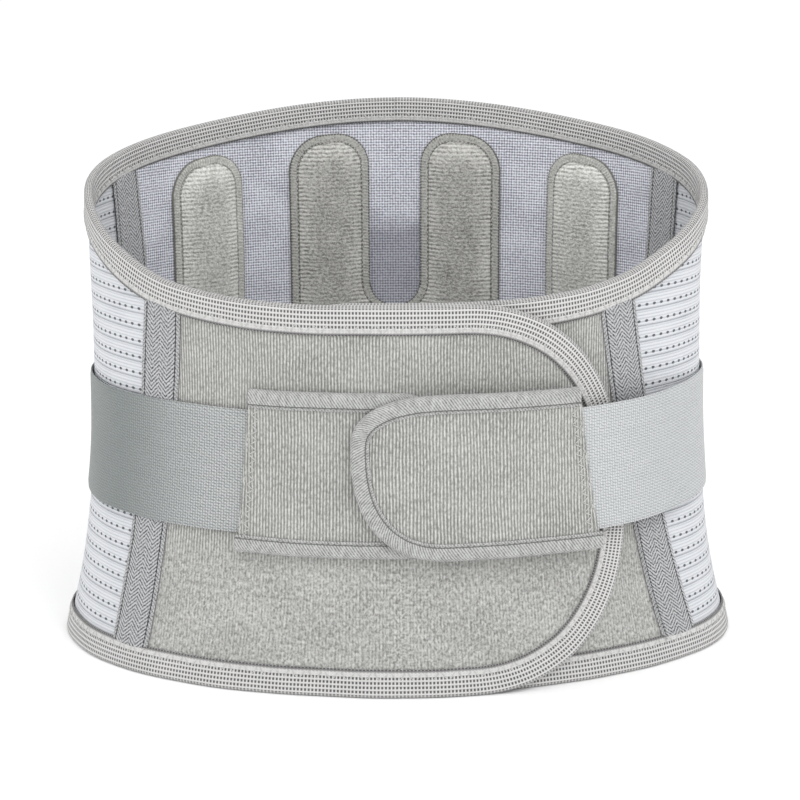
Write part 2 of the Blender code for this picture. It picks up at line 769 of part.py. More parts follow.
def centre_pad_depth(run, z):
    """Distance of a centre pad's point from the pad's edge and from the round notches in it."""
    distance = abs(run - HALF_GIRTH)
    past_high = max(BRIDGE_HIGH + LEG_INNER - z, 0.0)
    past_low = max(z - BRIDGE_LOW + LEG_INNER, 0.0)
    notches = [math.hypot(distance, past) - LEG_INNER for past in (past_high, past_low)]
    end = min(pad_high(HALF_GIRTH - distance) - z, z - pad_low())
    inner_side = distance - LEG_INNER if end < PAD_CORNER else LEG_OUTER
    across = min(LEG_OUTER - distance, inner_side)
    return min(corner_depth(across, end), *notches)


def pad_cover(name, grids, depth_in_pad, thickness):
    """Pad cover: a thin rim on the lining and a raised middle, open towards the lining."""
    base = BACK_INSIDE - LAYER_GAP

    def raised(run, z):
        return min(max(depth_in_pad(run, z), 0.0) / PAD_RIM_WIDTH, 1.0)

    def lining_side(run, z):
        inside = raised(run, z) > 0.999
        return base - (thickness - PAD_COVER_THICKNESS if inside else 0.0)

    def wearer_side(run, z):
        return base - PAD_RIM_THICKNESS - (thickness - PAD_RIM_THICKNESS) * raised(run, z)

    sheet(name, grids, wearer_side, lining_side, PAD_FABRIC)


def build_pads():
    """Side pads, the H-shaped centre pad, its foam core, and the four stays under them."""
    for side, word in ((+1, "right"), (-1, "left")):
        grid = leg_grid(side, SIDE_PAD_INNER, SIDE_PAD_OUTER, 0.0)
        pad_cover(f"side_pad_{word}", [grid], side_pad_depth, SIDE_PAD_THICKNESS)
    legs = [leg_grid(side, LEG_INNER, LEG_OUTER, 0.0) for side in (+1, -1)]
    grids = [legs[0], bridge_grid(), legs[1]]
    pad_cover("centre_pad", grids, centre_pad_depth, CENTRE_PAD_THICKNESS)

    stay_out = BACK_INSIDE - 2 * LAYER_GAP
    foam_out = stay_out - STAY_THICKNESS - LAYER_GAP
    inset = PAD_RIM_WIDTH + FOAM_MARGIN
    inner, outer = flat_levels(foam_out - FOAM_THICKNESS, FOAM_THICKNESS)
    for side, word in ((+1, "right"), (-1, "left")):
        grid = leg_grid(side, LEG_INNER, LEG_OUTER, inset)
        sheet(f"centre_pad_foam_{word}", [grid], inner, outer, FOAM)

    middles = {
        "inner": (LEG_INNER + LEG_OUTER) / 2,
        "outer": (SIDE_PAD_INNER + SIDE_PAD_OUTER) / 2,
    }
    for side, word in ((+1, "right"), (-1, "left")):
        for place, middle in middles.items():
            build_stay(f"stay_{place}_{word}", HALF_GIRTH - side * middle, stay_out)


def build_stay(name, run, out):
    """Flat spring steel stay with clipped ends, lying against the lining."""
    low = pad_low() + STAY_CLEARANCE
    high = pad_high(run) - STAY_CLEARANCE
    half = STAY_WIDTH / 2
    clip = half / 2
    heights = [low, low + clip] + rows_between(low + clip, high - clip)[1:-1]
    heights += [high - clip, high]
    grid = []
    for share in (-1.0, 0.0, 1.0):
        column = []
        for z in heights:
            wide = half - clip if z in (low, high) else half
            column.append((run + share * wide, z))
        grid.append(column)
    inner, outer = flat_levels(out - STAY_THICKNESS, STAY_THICKNESS)
    sheet(name, [grid], inner, outer, SPRING_STEEL)


# ---- Compression straps ------------------------------------------------------------------


def webbing(name, left, right, level, hinge=None):
    """Stretch of strap webbing between two runs."""
    grid = band_grid(left, right, lambda run: STRAP_LOW, lambda run: STRAP_HIGH)
    inner, outer = flat_levels(0.0, WEBBING_THICKNESS, level)
    sheet(name, [grid], inner, outer, WEBBING_FABRIC, hinge)


def strap_end_grids(edge, start, tip, middle, inset):
    """Joined grids of a strap's wide end: its straight stretch and its rounded tip."""
    low, high = STRAP_END_LOW + inset, STRAP_END_HIGH - inset
    rows = math.ceil((STRAP_END_HIGH - STRAP_END_LOW) / ROW_STEP)

    def begin(z):
        return start

    sides = (edge, begin) if tip > start else (begin, edge)
    straight = band_grid(*sides, lambda run: low, lambda run: high, rows)
    reach = tip - math.copysign(inset, tip - start)
    rounded = round_end_grid(start, reach, low, high, middle, STRAP_END_ROUNDNESS, rows)
    return [straight, rounded]


def strap_end_route(edge_run, start, tip, middle):
    """Edge of a strap's wide end: along the top, round the tip and back along the bottom."""
    if tip > start:
        straight = columns_between(edge_run, start)[:-1]
    else:
        straight = columns_between(start, edge_run)[:0:-1]
    rounded = round_end_route(
        start, tip, STRAP_END_LOW, STRAP_END_HIGH, middle, STRAP_END_ROUNDNESS
    )
    route = [(run, STRAP_END_HIGH) for run in straight]
    route += rounded
    route += [(run, STRAP_END_LOW) for run in reversed(straight)]
    return route if tip > start else route[::-1]


def strap_end(word, edge, start, tip, middle, base, hinge):
    """Wide end of a strap: velour face, hook patch under it and the narrow binding round them."""
    velour = base + STRAP_CORE + LAYER_GAP
    grids = strap_end_grids(edge, start, tip, middle, BINDING_EDGE)
    inner, outer = flat_levels(velour, VELOUR_THICKNESS)
    sheet(f"{word}_strap_end", grids, inner, outer, LOOP_FABRIC, hinge)

    toward = math.copysign(1.0, tip - start)

    def hook_edge(z):
        return edge(z) + toward * (WEBBING_TUCK + 2 * LAYER_GAP)

    grids = strap_end_grids(hook_edge, start, tip, middle, STRAP_HOOK_MARGIN)
    inner, outer = flat_levels(base, HOOK_THICKNESS)
    sheet(f"{word}_strap_hook_patch", grids, inner, outer, HOOK_NYLON, hinge)

    route = strap_end_route(edge((STRAP_LOW + STRAP_HIGH) / 2), start, tip, middle)
    over = velour + VELOUR_THICKNESS + LAYER_GAP
    folded_binding(
        f"{word}_strap_end_binding",
        route,
        STRAP_BINDING_WIDTH,
        over,
        base - LAYER_GAP,
        TAPE_FABRIC,
        hinge,
    )


def slanted(top, bottom):
    """Straight slanted edge of a strap's wide end, given by its runs at the top and bottom."""
    height = STRAP_END_HIGH - STRAP_END_LOW
    return lambda z: bottom + (top - bottom) * (z - STRAP_END_LOW) / height


def build_left_strap(hinge):
    """Left strap from its side hinge to its end on the outer front panel."""
    edge = slanted(LEFT_END_TOP, LEFT_END_BOTTOM)
    webbing(
        "left_strap_front",
        lambda z: -SIDE_RUN + HINGE_GAP / 2,
        lambda z: edge(z) + WEBBING_TUCK,
        left_strap_level,
        hinge,
    )
    strap_end(
        "left",
        edge,
        LEFT_END_ROUND_START,
        LEFT_END_TIP,
        STRAP_END_MIDDLE,
        WEBBING_OUT,
        hinge,
    )


def build_right_strap(hinge):
    """Right strap from its side hinge to its flap over the left strap's end."""
    edge = slanted(RIGHT_END_TOP, RIGHT_END_BOTTOM)
    webbing(
        "right_strap_front",
        lambda z: edge(z) - WEBBING_TUCK,
        lambda z: SIDE_RUN - HINGE_GAP / 2,
        right_strap_level,
        hinge,
    )
    strap_end(
        "right",
        edge,
        RIGHT_END_ROUND_START,
        RIGHT_END_TIP,
        STRAP_END_MIDDLE + RIGHT_END_TIP_RISE,
        RIGHT_HOOK_OUT,
        hinge,
    )


def build_strap_anchors():
    """Rear stretches of both straps and the panel on the back that they are sewn under."""
    tuck = HALF_GIRTH - ANCHOR_HALF_LENGTH + WEBBING_TUCK
    start = SIDE_RUN + HINGE_GAP / 2
    webbing("right_strap_rear", lambda z: start, lambda z: tuck, rear_strap_level)
    webbing(
        "left_strap_rear",
        lambda z: 2 * HALF_GIRTH - tuck,
        lambda z: 2 * HALF_GIRTH - start,
        rear_strap_level,
    )
    grid = band_grid(
        lambda z: HALF_GIRTH - ANCHOR_HALF_LENGTH,
        lambda z: HALF_GIRTH + ANCHOR_HALF_LENGTH,
        lambda run: STRAP_LOW - ANCHOR_MARGIN_LOW,
        lambda run: STRAP_HIGH + ANCHOR_MARGIN_HIGH,
    )
    inner, outer = flat_levels(WEBBING_OUT + WEBBING_THICKNESS + LAYER_GAP, VELOUR_THICKNESS)
    sheet("strap_anchor_panel", [grid], inner, outer, SHELL_FABRIC)


# ---- Whole belt --------------------------------------------------------------------------


def main():
    """Clears the scene and builds the belt."""
    for obj in list(bpy.data.objects):
        bpy.data.objects.remove(obj, do_unlink=True)
    strap_face = belt_half_sizes(STRAP_LOW)[0] + LAYER_GAP + WEBBING_THICKNESS
    wing_x = BOTTOM_HALF_WIDTH + OVER_PANEL + WING_HINGE_OFFSET
    strap_x = strap_face + STRAP_HINGE_OFFSET
    left_wing = hinge_axis("left_wing_axis", -wing_x)
    right_wing = hinge_axis("right_wing_axis", wing_x)
    left_strap = hinge_axis("left_strap_axis", -strap_x)
    right_strap = hinge_axis("right_strap_axis", strap_x)
    bpy.context.view_layer.update()
    build_back()
    build_pads()
    build_strap_anchors()
    build_left_wing(left_wing)
    build_right_wing(right_wing)
    build_left_strap(left_strap)
    build_right_strap(right_strap)


main()
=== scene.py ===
"""Lumbar support belt with two compression straps: cloth, tapes, stitching and a studio.

Every piece is laid out in belt coordinates, in metres. run is the distance along the waist from
the middle of the front, positive towards +X; z is the height; out is the distance outward from
the face of the outer front panel.
"""

import logging
import math
from collections.abc import Callable, Sequence
from dataclasses import dataclass, field
from enum import Enum
from functools import cached_property, partial

import bpy
import numpy as np
from bpy.types import Material, Node, NodeSocket, Object
from mathutils import Matrix, Vector


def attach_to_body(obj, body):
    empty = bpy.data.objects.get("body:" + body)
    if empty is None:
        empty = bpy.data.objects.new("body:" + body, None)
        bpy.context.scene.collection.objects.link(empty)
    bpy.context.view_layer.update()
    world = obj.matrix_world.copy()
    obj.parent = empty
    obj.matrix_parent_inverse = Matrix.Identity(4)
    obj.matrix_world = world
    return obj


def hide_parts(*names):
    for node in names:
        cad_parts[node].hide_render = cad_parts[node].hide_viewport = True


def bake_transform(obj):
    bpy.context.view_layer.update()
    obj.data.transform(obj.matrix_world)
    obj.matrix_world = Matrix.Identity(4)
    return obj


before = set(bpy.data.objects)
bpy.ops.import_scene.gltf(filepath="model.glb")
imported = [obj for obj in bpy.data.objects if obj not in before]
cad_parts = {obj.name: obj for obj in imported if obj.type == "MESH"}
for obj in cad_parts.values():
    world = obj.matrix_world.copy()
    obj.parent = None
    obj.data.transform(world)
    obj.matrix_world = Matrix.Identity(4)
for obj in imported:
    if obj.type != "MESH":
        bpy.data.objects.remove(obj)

LOG = logging.getLogger("belt")
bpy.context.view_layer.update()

Array = np.ndarray
Pair = tuple[float, float]
Triple = tuple[float, float, float]
Level = Callable[[Array], Array]
Edge = Callable[[Array], Array]
Grid = tuple[Array, Array]
Colour = Triple


def ease(value: Array | float, start: float, end: float) -> Array:
    """Smooth step of a value.

    Args:
        value: The values to ease.
        start: Where the step begins.
        end: Where it ends.

    Returns:
        0 before start, 1 after end, and a smooth rise between them.
    """
    t = np.clip((np.asarray(value, float) - start) / (end - start), 0.0, 1.0)
    return t * t * (3 - 2 * t)


# ---- The belt's shape ----


@dataclass(frozen=True)
class Layers:
    """Thickness of each cloth, and the levels that follow from how they lie on each other."""

    panel: float = 0.0026
    elastic: float = 0.0016
    recess: float = 0.0006
    shell: float = 0.0013
    tape: float = 0.0006
    webbing: float = 0.0012
    velour: float = 0.0014
    hook: float = 0.0012
    gap: float = 0.0003
    wing_clearance: float = 0.0011

    @property
    def under_panel(self) -> float:
        """Level just under a front panel."""
        return -(self.panel + self.gap)

    @property
    def wing_drop(self) -> float:
        """How far the inner front panel lies under the outer one."""
        return self.panel + self.gap + self.hook + self.wing_clearance

    @property
    def lining_out(self) -> float:
        """Outer level of the back lining."""
        return -(self.shell + self.gap)

    @property
    def back_inside(self) -> float:
        """Level of the lining's wearer side."""
        return self.lining_out - self.shell

    @property
    def core(self) -> float:
        """Thickness held between a strap end's face and the belt."""
        return max(self.webbing, self.hook)

    @property
    def webbing_out(self) -> float:
        """Inner level of the left strap on the front panel."""
        return self.tape + 2 * self.gap

    @property
    def right_hook_out(self) -> float:
        """Inner level of the right strap's end, over the left strap's end."""
        return self.webbing_out + self.core + self.velour + 2 * self.tape + 5 * self.gap


@dataclass(frozen=True)
class Ring:
    """The flared elliptic surface that the whole belt is laid on."""

    waist_width: float = 0.1524
    waist_depth: float = 0.1100
    top_flare: Pair = (0.0026, 0.0012)
    hip_flare: Pair = (0.0176, 0.0074)
    waist_height: float = 0.165
    flare_power: float = 2.5
    shift: float = 0.0019
    front_height: float = 0.1875
    seam_height: float = 0.1940
    side_height: float = 0.2290
    shoulder_height: float = 0.2480
    back_height: float = 0.2585
    seam_run: float = 0.1155
    shoulder_width: float = 0.1100
    ripple_height: float = 0.0004
    ripples: tuple[tuple[float, ...], ...] = (
        (1.0, 34, 21, 0.6), (0.6, 61, -47, 2.1), (0.35, 120, 95, 4.0)
    )

    @cached_property
    def table(self) -> tuple[Array, Array]:
        """Angles round half the ring.

        Returns:
            The angles, and the distance along the waist to each.
        """
        angles = np.linspace(0.0, math.pi, 1441)
        speed = np.hypot(self.waist_width * np.cos(angles), self.waist_depth * np.sin(angles))
        steps = (speed[1:] + speed[:-1]) / 2 * np.diff(angles)
        return angles, np.concatenate([[0.0], np.cumsum(steps)])

    @property
    def half(self) -> float:
        """Distance along the waist from the front middle to the back middle."""
        return float(self.table[1][-1])

    @property
    def side(self) -> float:
        """Distance along the waist from the front middle to the side."""
        return self.half / 2

    def sizes(self, z: Array) -> tuple[Array, Array]:
        """Half width and half depth at a height.

        Args:
            z: Heights.

        Returns:
            The half widths and the half depths.
        """
        up = np.clip(z - self.waist_height, 0, None) / (self.back_height - self.waist_height)
        down = np.clip(self.waist_height - z, 0, None) / self.waist_height
        top, hip = up**2, down**self.flare_power
        width = self.waist_width + self.top_flare[0] * top + self.hip_flare[0] * hip
        depth = self.waist_depth + self.top_flare[1] * top + self.hip_flare[1] * hip
        return width, depth

    def angle(self, run: Array) -> Array:
        """Angle round the ring, from the front middle.

        Args:
            run: Distances along the waist.

        Returns:
            The angles.
        """
        angles, runs = self.table
        wrapped = (np.asarray(run, float) + self.half) % (2 * self.half) - self.half
        return np.sign(wrapped) * np.interp(np.abs(wrapped), runs, angles)

    def ripple(self, run: Array, z: Array) -> Array:
        """Soft unevenness that every layer shares, as worn cloth has."""
        waves = (size * np.sin(run * a + z * b + c) for size, a, b, c in self.ripples)
        return self.ripple_height * sum(waves)

    def point(self, run: Array, z: Array, out: Array) -> Array:
        """World points at belt coordinates.

        Args:
            run: Distances along the waist.
            z: Heights.
            out: Distances outward.

        Returns:
            Points, one row for each.
        """
        run, z, out = np.broadcast_arrays(
            np.asarray(run, float), np.asarray(z, float), np.asarray(out, float)
        )
        angle = self.angle(run)
        width, depth = self.sizes(z)
        across, along = depth * np.sin(angle), -width * np.cos(angle)
        length = np.hypot(across, along)
        out = out + self.ripple(self.wrapped(run), z)
        x = width * np.sin(angle) + out * across / length
        y = -depth * np.cos(angle) + out * along / length
        return np.stack([x, y + self.shift, z], -1)

    def wrapped(self, run: Array) -> Array:
        """Distance from the back middle folded to the front's scale, so that both ends agree."""
        return self.half * np.sin(np.asarray(run, float) * math.pi / (2 * self.half))

    def top_edge(self, run: Array) -> Array:
        """Height of the belt's top edge.

        Args:
            run: Distances along the waist.

        Returns:
            The heights there.
        """
        far = np.abs((np.asarray(run, float) + self.half) % (2 * self.half) - self.half)
        runs = [0.0, self.seam_run, self.side, self.half - self.shoulder_width, self.half]
        tops = [self.front_height, self.seam_height, self.side_height]
        tops += [self.shoulder_height, self.back_height]
        slopes = [0.0]
        for k in range(1, 4):
            slopes.append((tops[k + 1] - tops[k - 1]) / (runs[k + 1] - runs[k - 1]))
        slopes.append(0.0)
        k = np.clip(np.searchsorted(runs, far, side="right") - 1, 0, 3)
        low, high = np.take(runs, k), np.take(runs, k + 1)
        span = high - low
        t = (far - low) / span
        first = np.take(tops, k) * (1 + 2 * t) * (1 - t) ** 2
        last = np.take(tops, k + 1) * t * t * (3 - 2 * t)
        lean = np.take(slopes, k) * t * (1 - t) ** 2 - np.take(slopes, k + 1) * t * t * (1 - t)
        return first + last + span * lean


LAYERS = Layers()
RING = Ring()


@dataclass(frozen=True)
class Seams:
    """Where the panels meet, and the widths of the tapes that cover the joins."""

    left: Pair = (0.118, 0.131)
    right: Pair = (0.113, 0.145)
    back: Pair = (0.165, 0.150)
    binding: float = 0.0140
    tape: float = 0.0228

    def front(self, z: Array, side: int) -> Array:
        """Run of a front seam at a height, on side -1 or +1."""
        top, bottom = self.right if side > 0 else self.left
        return side * (bottom + (top - bottom) * z / RING.front_height)

    def rear(self, z: Array, side: int) -> Array:
        """Run of a back seam at a height, on side -1 or +1."""
        top, bottom = self.back
        return side * (RING.half - bottom - (top - bottom) * z / RING.back_height)


@dataclass(frozen=True)
class Slopes:
    """Where the layered pieces change level: a run, and a distance from the belt's side."""

    wing: Pair = (0.125, -0.020)
    left_strap: Pair = (0.1538, -0.010)
    right_strap: Pair = (0.083, -0.030)
    back: Pair = (0.004, 0.020)

    def front(self, run: Array, ends: Pair) -> Array:
        """1 at the front and 0 behind a slope with those ends."""
        return 1 - ease(run, ends[0], RING.side + ends[1])

    def rear(self, run: Array) -> Array:
        """0 at the front and 1 at the back."""
        return ease(run, RING.side + self.back[0], RING.side + self.back[1])


SEAMS = Seams()
SLOPES = Slopes()


def flat(run: Array) -> Array:
    """Level of cloth that lies on the reference surface."""
    return np.zeros_like(np.asarray(run, float))


def right_wing(run: Array) -> Array:
    """Level of the right wing, which lies under the outer front panel."""
    return -LAYERS.wing_drop * SLOPES.front(run, SLOPES.wing)


def left_strap(run: Array) -> Array:
    """Inner level of the left strap from the back to the front."""
    rise, far = LAYERS.webbing_out - LAYERS.gap, np.abs(run)
    return LAYERS.gap + rise * (SLOPES.front(far, SLOPES.left_strap) + SLOPES.rear(far))


def right_strap(run: Array) -> Array:
    """Inner level of the right strap from the back to the front.

    Args:
        run: Distances along the waist.

    Returns:
        The levels.
    """
    rise = (LAYERS.right_hook_out - LAYERS.gap) * SLOPES.front(run, SLOPES.right_strap)
    return LAYERS.gap + (rise + (LAYERS.webbing_out - LAYERS.gap) * SLOPES.rear(run))


# ---- Shader tools ----


class Value:
    """A number that varies over a surface: a socket with arithmetic."""

    def __init__(self, nodes: "Nodes", socket: NodeSocket) -> None:
        """Keeps the socket and the nodes it belongs to."""
        self.nodes = nodes
        self.socket = socket

    def math(self, operation: str, *others: "Value | float") -> "Value":
        """This value and others through one Math node."""
        return self.nodes.math(operation, self, *others)

    def __add__(self, other: "Value | float") -> "Value":
        """Sum."""
        return self.math("ADD", other)

    __radd__ = __add__

    def __sub__(self, other: "Value | float") -> "Value":
        """Difference."""
        return self.math("SUBTRACT", other)

    def __rsub__(self, other: float) -> "Value":
        """Difference from a number."""
        return self.nodes.math("SUBTRACT", other, self)

    def __mul__(self, other: "Value | float") -> "Value":
        """Product."""
        return self.math("MULTIPLY", other)

    __rmul__ = __mul__

    def __truediv__(self, other: "Value | float") -> "Value":
        """Quotient."""
        return self.math("DIVIDE", other)

    def __pow__(self, other: float) -> "Value":
        """Power."""
        return self.math("POWER", other)

    def __abs__(self) -> "Value":
        """Size without sign."""
        return self.math("ABSOLUTE")

    def wave(self, pitch: float) -> "Value":
        """Sine of that pitch, from 0 to 1."""
        return (self * (2 * math.pi / pitch)).math("SINE") * 0.5 + 0.5

    def cell(self, pitch: float) -> "Value":
        """Distance in metres from the middle of the nearest cell of that pitch."""
        return (self / pitch).math("FRACT") * pitch - pitch / 2

    def rise(self, start: float, end: float) -> "Value":
        """Smooth step of this value, either way round.

        Args:
            start: Where the step is 0.
            end: Where it is 1.

        Returns:
            The step.
        """
        node = self.nodes.add(
            "ShaderNodeMapRange",
            {"interpolation_type": "SMOOTHSTEP"},
            {"Value": self, "From Min": start, "From Max": end},
        )
        return Value(self.nodes, node.outputs["Result"])


class Nodes:
    """The nodes of one material."""

    def __init__(self, name: str) -> None:
        """Starts an empty material with its output.

        Args:
            name: The material's name.
        """
        self.made = bpy.data.materials.new(name)
        self.made.use_nodes = True
        self.tree = self.made.node_tree
        self.tree.nodes.clear()
        self.output = self.add("ShaderNodeOutputMaterial")

    def add(self, kind: str, settings: dict | None = None, inputs: dict | None = None) -> Node:
        """Makes one node.

        Args:
            kind: The node's type.
            settings: Properties, set before the sockets.
            inputs: A number, colour, Value or socket for each input's name or index.

        Returns:
            The node.
        """
        node = self.tree.nodes.new(kind)
        for key, value in (settings or {}).items():
            setattr(node, key, value)
        for key, value in (inputs or {}).items():
            socket = node.inputs[key]
            if isinstance(value, Value):
                self.tree.links.new(value.socket, socket)
            elif isinstance(value, NodeSocket):
                self.tree.links.new(value, socket)
            else:
                socket.default_value = value
        return node

    def math(self, operation: str, *values: "Value | float") -> Value:
        """One Math node on values and numbers."""
        node = self.add("ShaderNodeMath", {"operation": operation}, dict(enumerate(values)))
        return Value(self, node.outputs[0])

    def place(self) -> tuple[NodeSocket, Value, Value, Value]:
        """Coordinates on the cloth, in metres.

        Returns:
            The vector and its three parts.
        """
        place = self.add("ShaderNodeAttribute", {"attribute_name": "cloth"}).outputs["Vector"]
        parts = self.add("ShaderNodeSeparateXYZ", None, {0: place}).outputs
        return place, *(Value(self, parts[k]) for k in range(3))

    def noise(self, vector: NodeSocket, grain: Sequence[float], detail: float = 2.0) -> Value:
        """Cloud of noise.

        Args:
            vector: Coordinates in metres.
            grain: Size of the clouds along each coordinate, in metres.
            detail: How many finer clouds are added.

        Returns:
            The noise, about 0.5.
        """
        scaled = self.add(
            "ShaderNodeVectorMath",
            {"operation": "MULTIPLY"},
            {0: vector, 1: tuple(1 / g for g in grain)},
        )
        node = self.add(
            "ShaderNodeTexNoise",
            None,
            {"Vector": scaled.outputs[0], "Scale": 1.0, "Detail": detail, "Roughness": 0.55},
        )
        return Value(self, node.outputs["Fac"])

    def mix(self, share: Value, first: object, second: object) -> NodeSocket:
        """Colour between two colours.

        Args:
            share: 0 for the first colour and 1 for the second.
            first: A colour or a colour socket.
            second: A colour or a colour socket.

        Returns:
            The mixed colour's socket.
        """
        ends = [(*c, 1.0) if isinstance(c, tuple) else c for c in (first, second)]
        node = self.add(
            "ShaderNodeMix", {"data_type": "RGBA"}, {0: share, 6: ends[0], 7: ends[1]}
        )
        return node.outputs[2]

    def bump(self, height: Value) -> NodeSocket:
        """Normal of a relief whose height is in millimetres."""
        inputs = {"Strength": 1.0, "Distance": 0.001, "Height": height}
        return self.add("ShaderNodeBump", None, inputs).outputs["Normal"]

    def finish(self, **inputs: object) -> Material:
        """Ends the material.

        Args:
            inputs: The shader's sockets, with underscores for spaces.

        Returns:
            The material.
        """
        named = {}
        for key, value in inputs.items():
            plain = isinstance(value, tuple) and len(value) == 3
            named[key.replace("_", " ")] = (*value, 1.0) if plain else value
        shader = self.add("ShaderNodeBsdfPrincipled", None, named)
        self.tree.links.new(shader.outputs[0], self.output.inputs[0])
        return self.made

    def cloth(
        self, colour: NodeSocket, relief: Value, rough: float, sheen: float, gloss: float
    ) -> Material:
        """Ends a cloth's material.

        Args:
            colour: Its colour.
            relief: Its relief in millimetres.
            rough: How matte it is.
            sheen: Share of light that its fibres scatter.
            gloss: Strength of its reflection.

        Returns:
            The material.
        """
        return self.finish(
            Base_Color=colour,
            Roughness=rough,
            Sheen_Weight=sheen,
            Sheen_Roughness=0.5,
            Specular_IOR_Level=gloss,
            Normal=self.bump(relief),
        )


def tone(red: float, green: float, blue: float, light: float = 1.16) -> Colour:
    """Reflectance that shows as an 8-bit screen colour under the studio's light.

    Args:
        red: Red from 0 to 255.
        green: Green from 0 to 255.
        blue: Blue from 0 to 255.
        light: Light that falls on the cloth, where 1 shows white as white.

    Returns:
        The linear reflectance.
    """
    linear = []
    for value in (red / 255, green / 255, blue / 255):
        curve = value / 12.92 if value <= 0.04045 else ((value + 0.055) / 1.055) ** 2.4
        linear.append(curve / light)
    return tuple(linear)


# ---- Finishes ----


@dataclass(frozen=True)
class Finish:
    """A cloth's or metal's look, made once and shared by its pieces."""

    name: str

    def material(self) -> Material:
        """The finish's material, made on first use."""
        return bpy.data.materials.get(self.name) or self.draw(Nodes(self.name))

    def draw(self, nodes: Nodes) -> Material:
        """Draws the finish's nodes."""
        raise NotImplementedError


@dataclass(frozen=True)
class LoopCloth(Finish):
    """Brushed loop fabric with fine upright ribs that soften into a plush nap."""

    light: Colour = tone(222, 222, 219)
    dark: Colour = tone(112, 112, 108)
    rib: float = 0.00150
    plush_from: float = 0.078
    plush_to: float = 0.058

    def draw(self, nodes: Nodes) -> Material:
        """Ribs broken up by nap, with loose fibres over them.

        Args:
            nodes: The material's nodes.

        Returns:
            The material.
        """
        place, run, z, _ = nodes.place()
        wander = nodes.noise(place, (0.012, 0.03, 1), 1) * 0.0016
        ribs = (run + wander).wave(self.rib)
        broken = nodes.noise(place, (0.0013, 0.0026, 1), 2).rise(0.3, 0.7)
        nap = nodes.noise(place, (0.0015, 0.0024, 1), 2).rise(0.25, 0.75)
        fibre = nodes.noise(place, (0.0009, 0.0012, 1), 1).rise(0.25, 0.75)
        plush = z.rise(self.plush_from, self.plush_to)
        ribbed = ribs * (broken * 0.7 + 0.3) * (1 - plush * 0.75)
        relief = ribbed * 1.15 + nap * (plush * 0.42 + 0.1) + fibre * (plush * 0.15 + 0.25)
        soft = nodes.noise(place, (0.030, 0.022, 1), 2)
        shade = (relief * 0.8 + soft * 0.3 - 0.13).rise(-0.15, 1.15)
        colour = nodes.mix(shade, self.dark, self.light)
        return nodes.cloth(colour, relief * 0.34, rough=0.95, sheen=0.25, gloss=0.15)


@dataclass(frozen=True)
class PerforatedElastic(Finish):
    """Ribbed white elastic with rows of small slots."""

    light: Colour = tone(223, 225, 229)
    shade: Colour = tone(156, 160, 167)
    # hole: colour of the slots, painted shade seen through them.
    hole: Colour = tone(96, 100, 106)
    row: float = 0.0079
    slot: float = 0.0053

    def draw(self, nodes: Nodes) -> Material:
        """Rows of slots painted dark as shade, a groove under each darkened with painted shade,
        and fine ribs between.

        Args:
            nodes: The material's nodes.

        Returns:
            The material.
        """
        place, run, z, _ = nodes.place()
        across, up = run.cell(self.slot), z.cell(self.row)
        far = ((across / 0.00105) ** 2.0 + ((up - 0.0002) / 0.00062) ** 2.0) ** 0.5
        # Slots coloured dark: painted shade where light does not reach through them.
        slots = far.rise(1.25, 0.75)
        # Groove under each row of slots, darkened with painted shade.
        line = abs(up + 0.0021).rise(0.00045, 0.0001)
        ribs = (z + 0.0004).wave(self.row / 5)
        knit = nodes.noise(place, (0.0005, 0.0004, 1), 1)
        # Sunken band round each row, made a little darker with painted shade.
        band = abs(up).rise(0.0018, 0.0009)
        worn = nodes.noise(place, (0.02, 0.01, 1), 2)
        shade = ribs * 0.50 + knit * 0.45 + worn * 0.3 + 0.12 - band * 0.1 - line * 0.55
        cloth = nodes.mix(shade.rise(0.0, 0.9), self.shade, self.light)
        relief = ribs * 0.12 + knit * 0.08 - line * 0.3 - slots * 0.5 - band * 0.08
        colour = nodes.mix(slots, cloth, self.hole)
        return nodes.cloth(colour, relief, rough=0.8, sheen=0.1, gloss=0.25)


@dataclass(frozen=True)
class HerringboneTape(Finish):
    """Heathered tape woven in a herringbone, with firm selvedges."""

    light: Colour = tone(204, 205, 207)
    dark: Colour = tone(56, 56, 60)
    width: float = 0.0228
    twill: float = 0.0021

    def draw(self, nodes: Nodes) -> Material:
        """Slanted threads that turn at the columns' edges, and painted shade in the grooves by the
        selvedges.

        Args:
            nodes: The material's nodes.

        Returns:
            The material.
        """
        place, across, along, _ = nodes.place()
        turn = abs((across + self.width).cell(self.width / 2.5))
        thread = (along + turn).wave(self.twill)
        fine = nodes.noise(place, (0.0009, 0.0009, 1), 1).rise(0.25, 0.75)
        heather = nodes.noise(place, (0.0016, 0.0035, 1), 2)
        edge = abs(across).rise(self.width / 2 - 0.0019, self.width / 2 - 0.0013)
        # Groove inside each selvedge, darkened with painted shade.
        shaded_groove = abs(abs(across) - (self.width / 2 - 0.0022)).rise(0.0005, 0.0001)
        relief = thread * 0.55 + fine * 0.5 + edge * 0.25 - shaded_groove * 0.5
        shade = thread * 0.48 + fine * 0.42 + heather * 0.3 - shaded_groove * 0.55 - 0.04 + edge * 0.1
        colour = nodes.mix(shade.rise(0.05, 0.95), self.dark, self.light)
        return nodes.cloth(colour, relief * 0.28, rough=0.88, sheen=0.15, gloss=0.2)


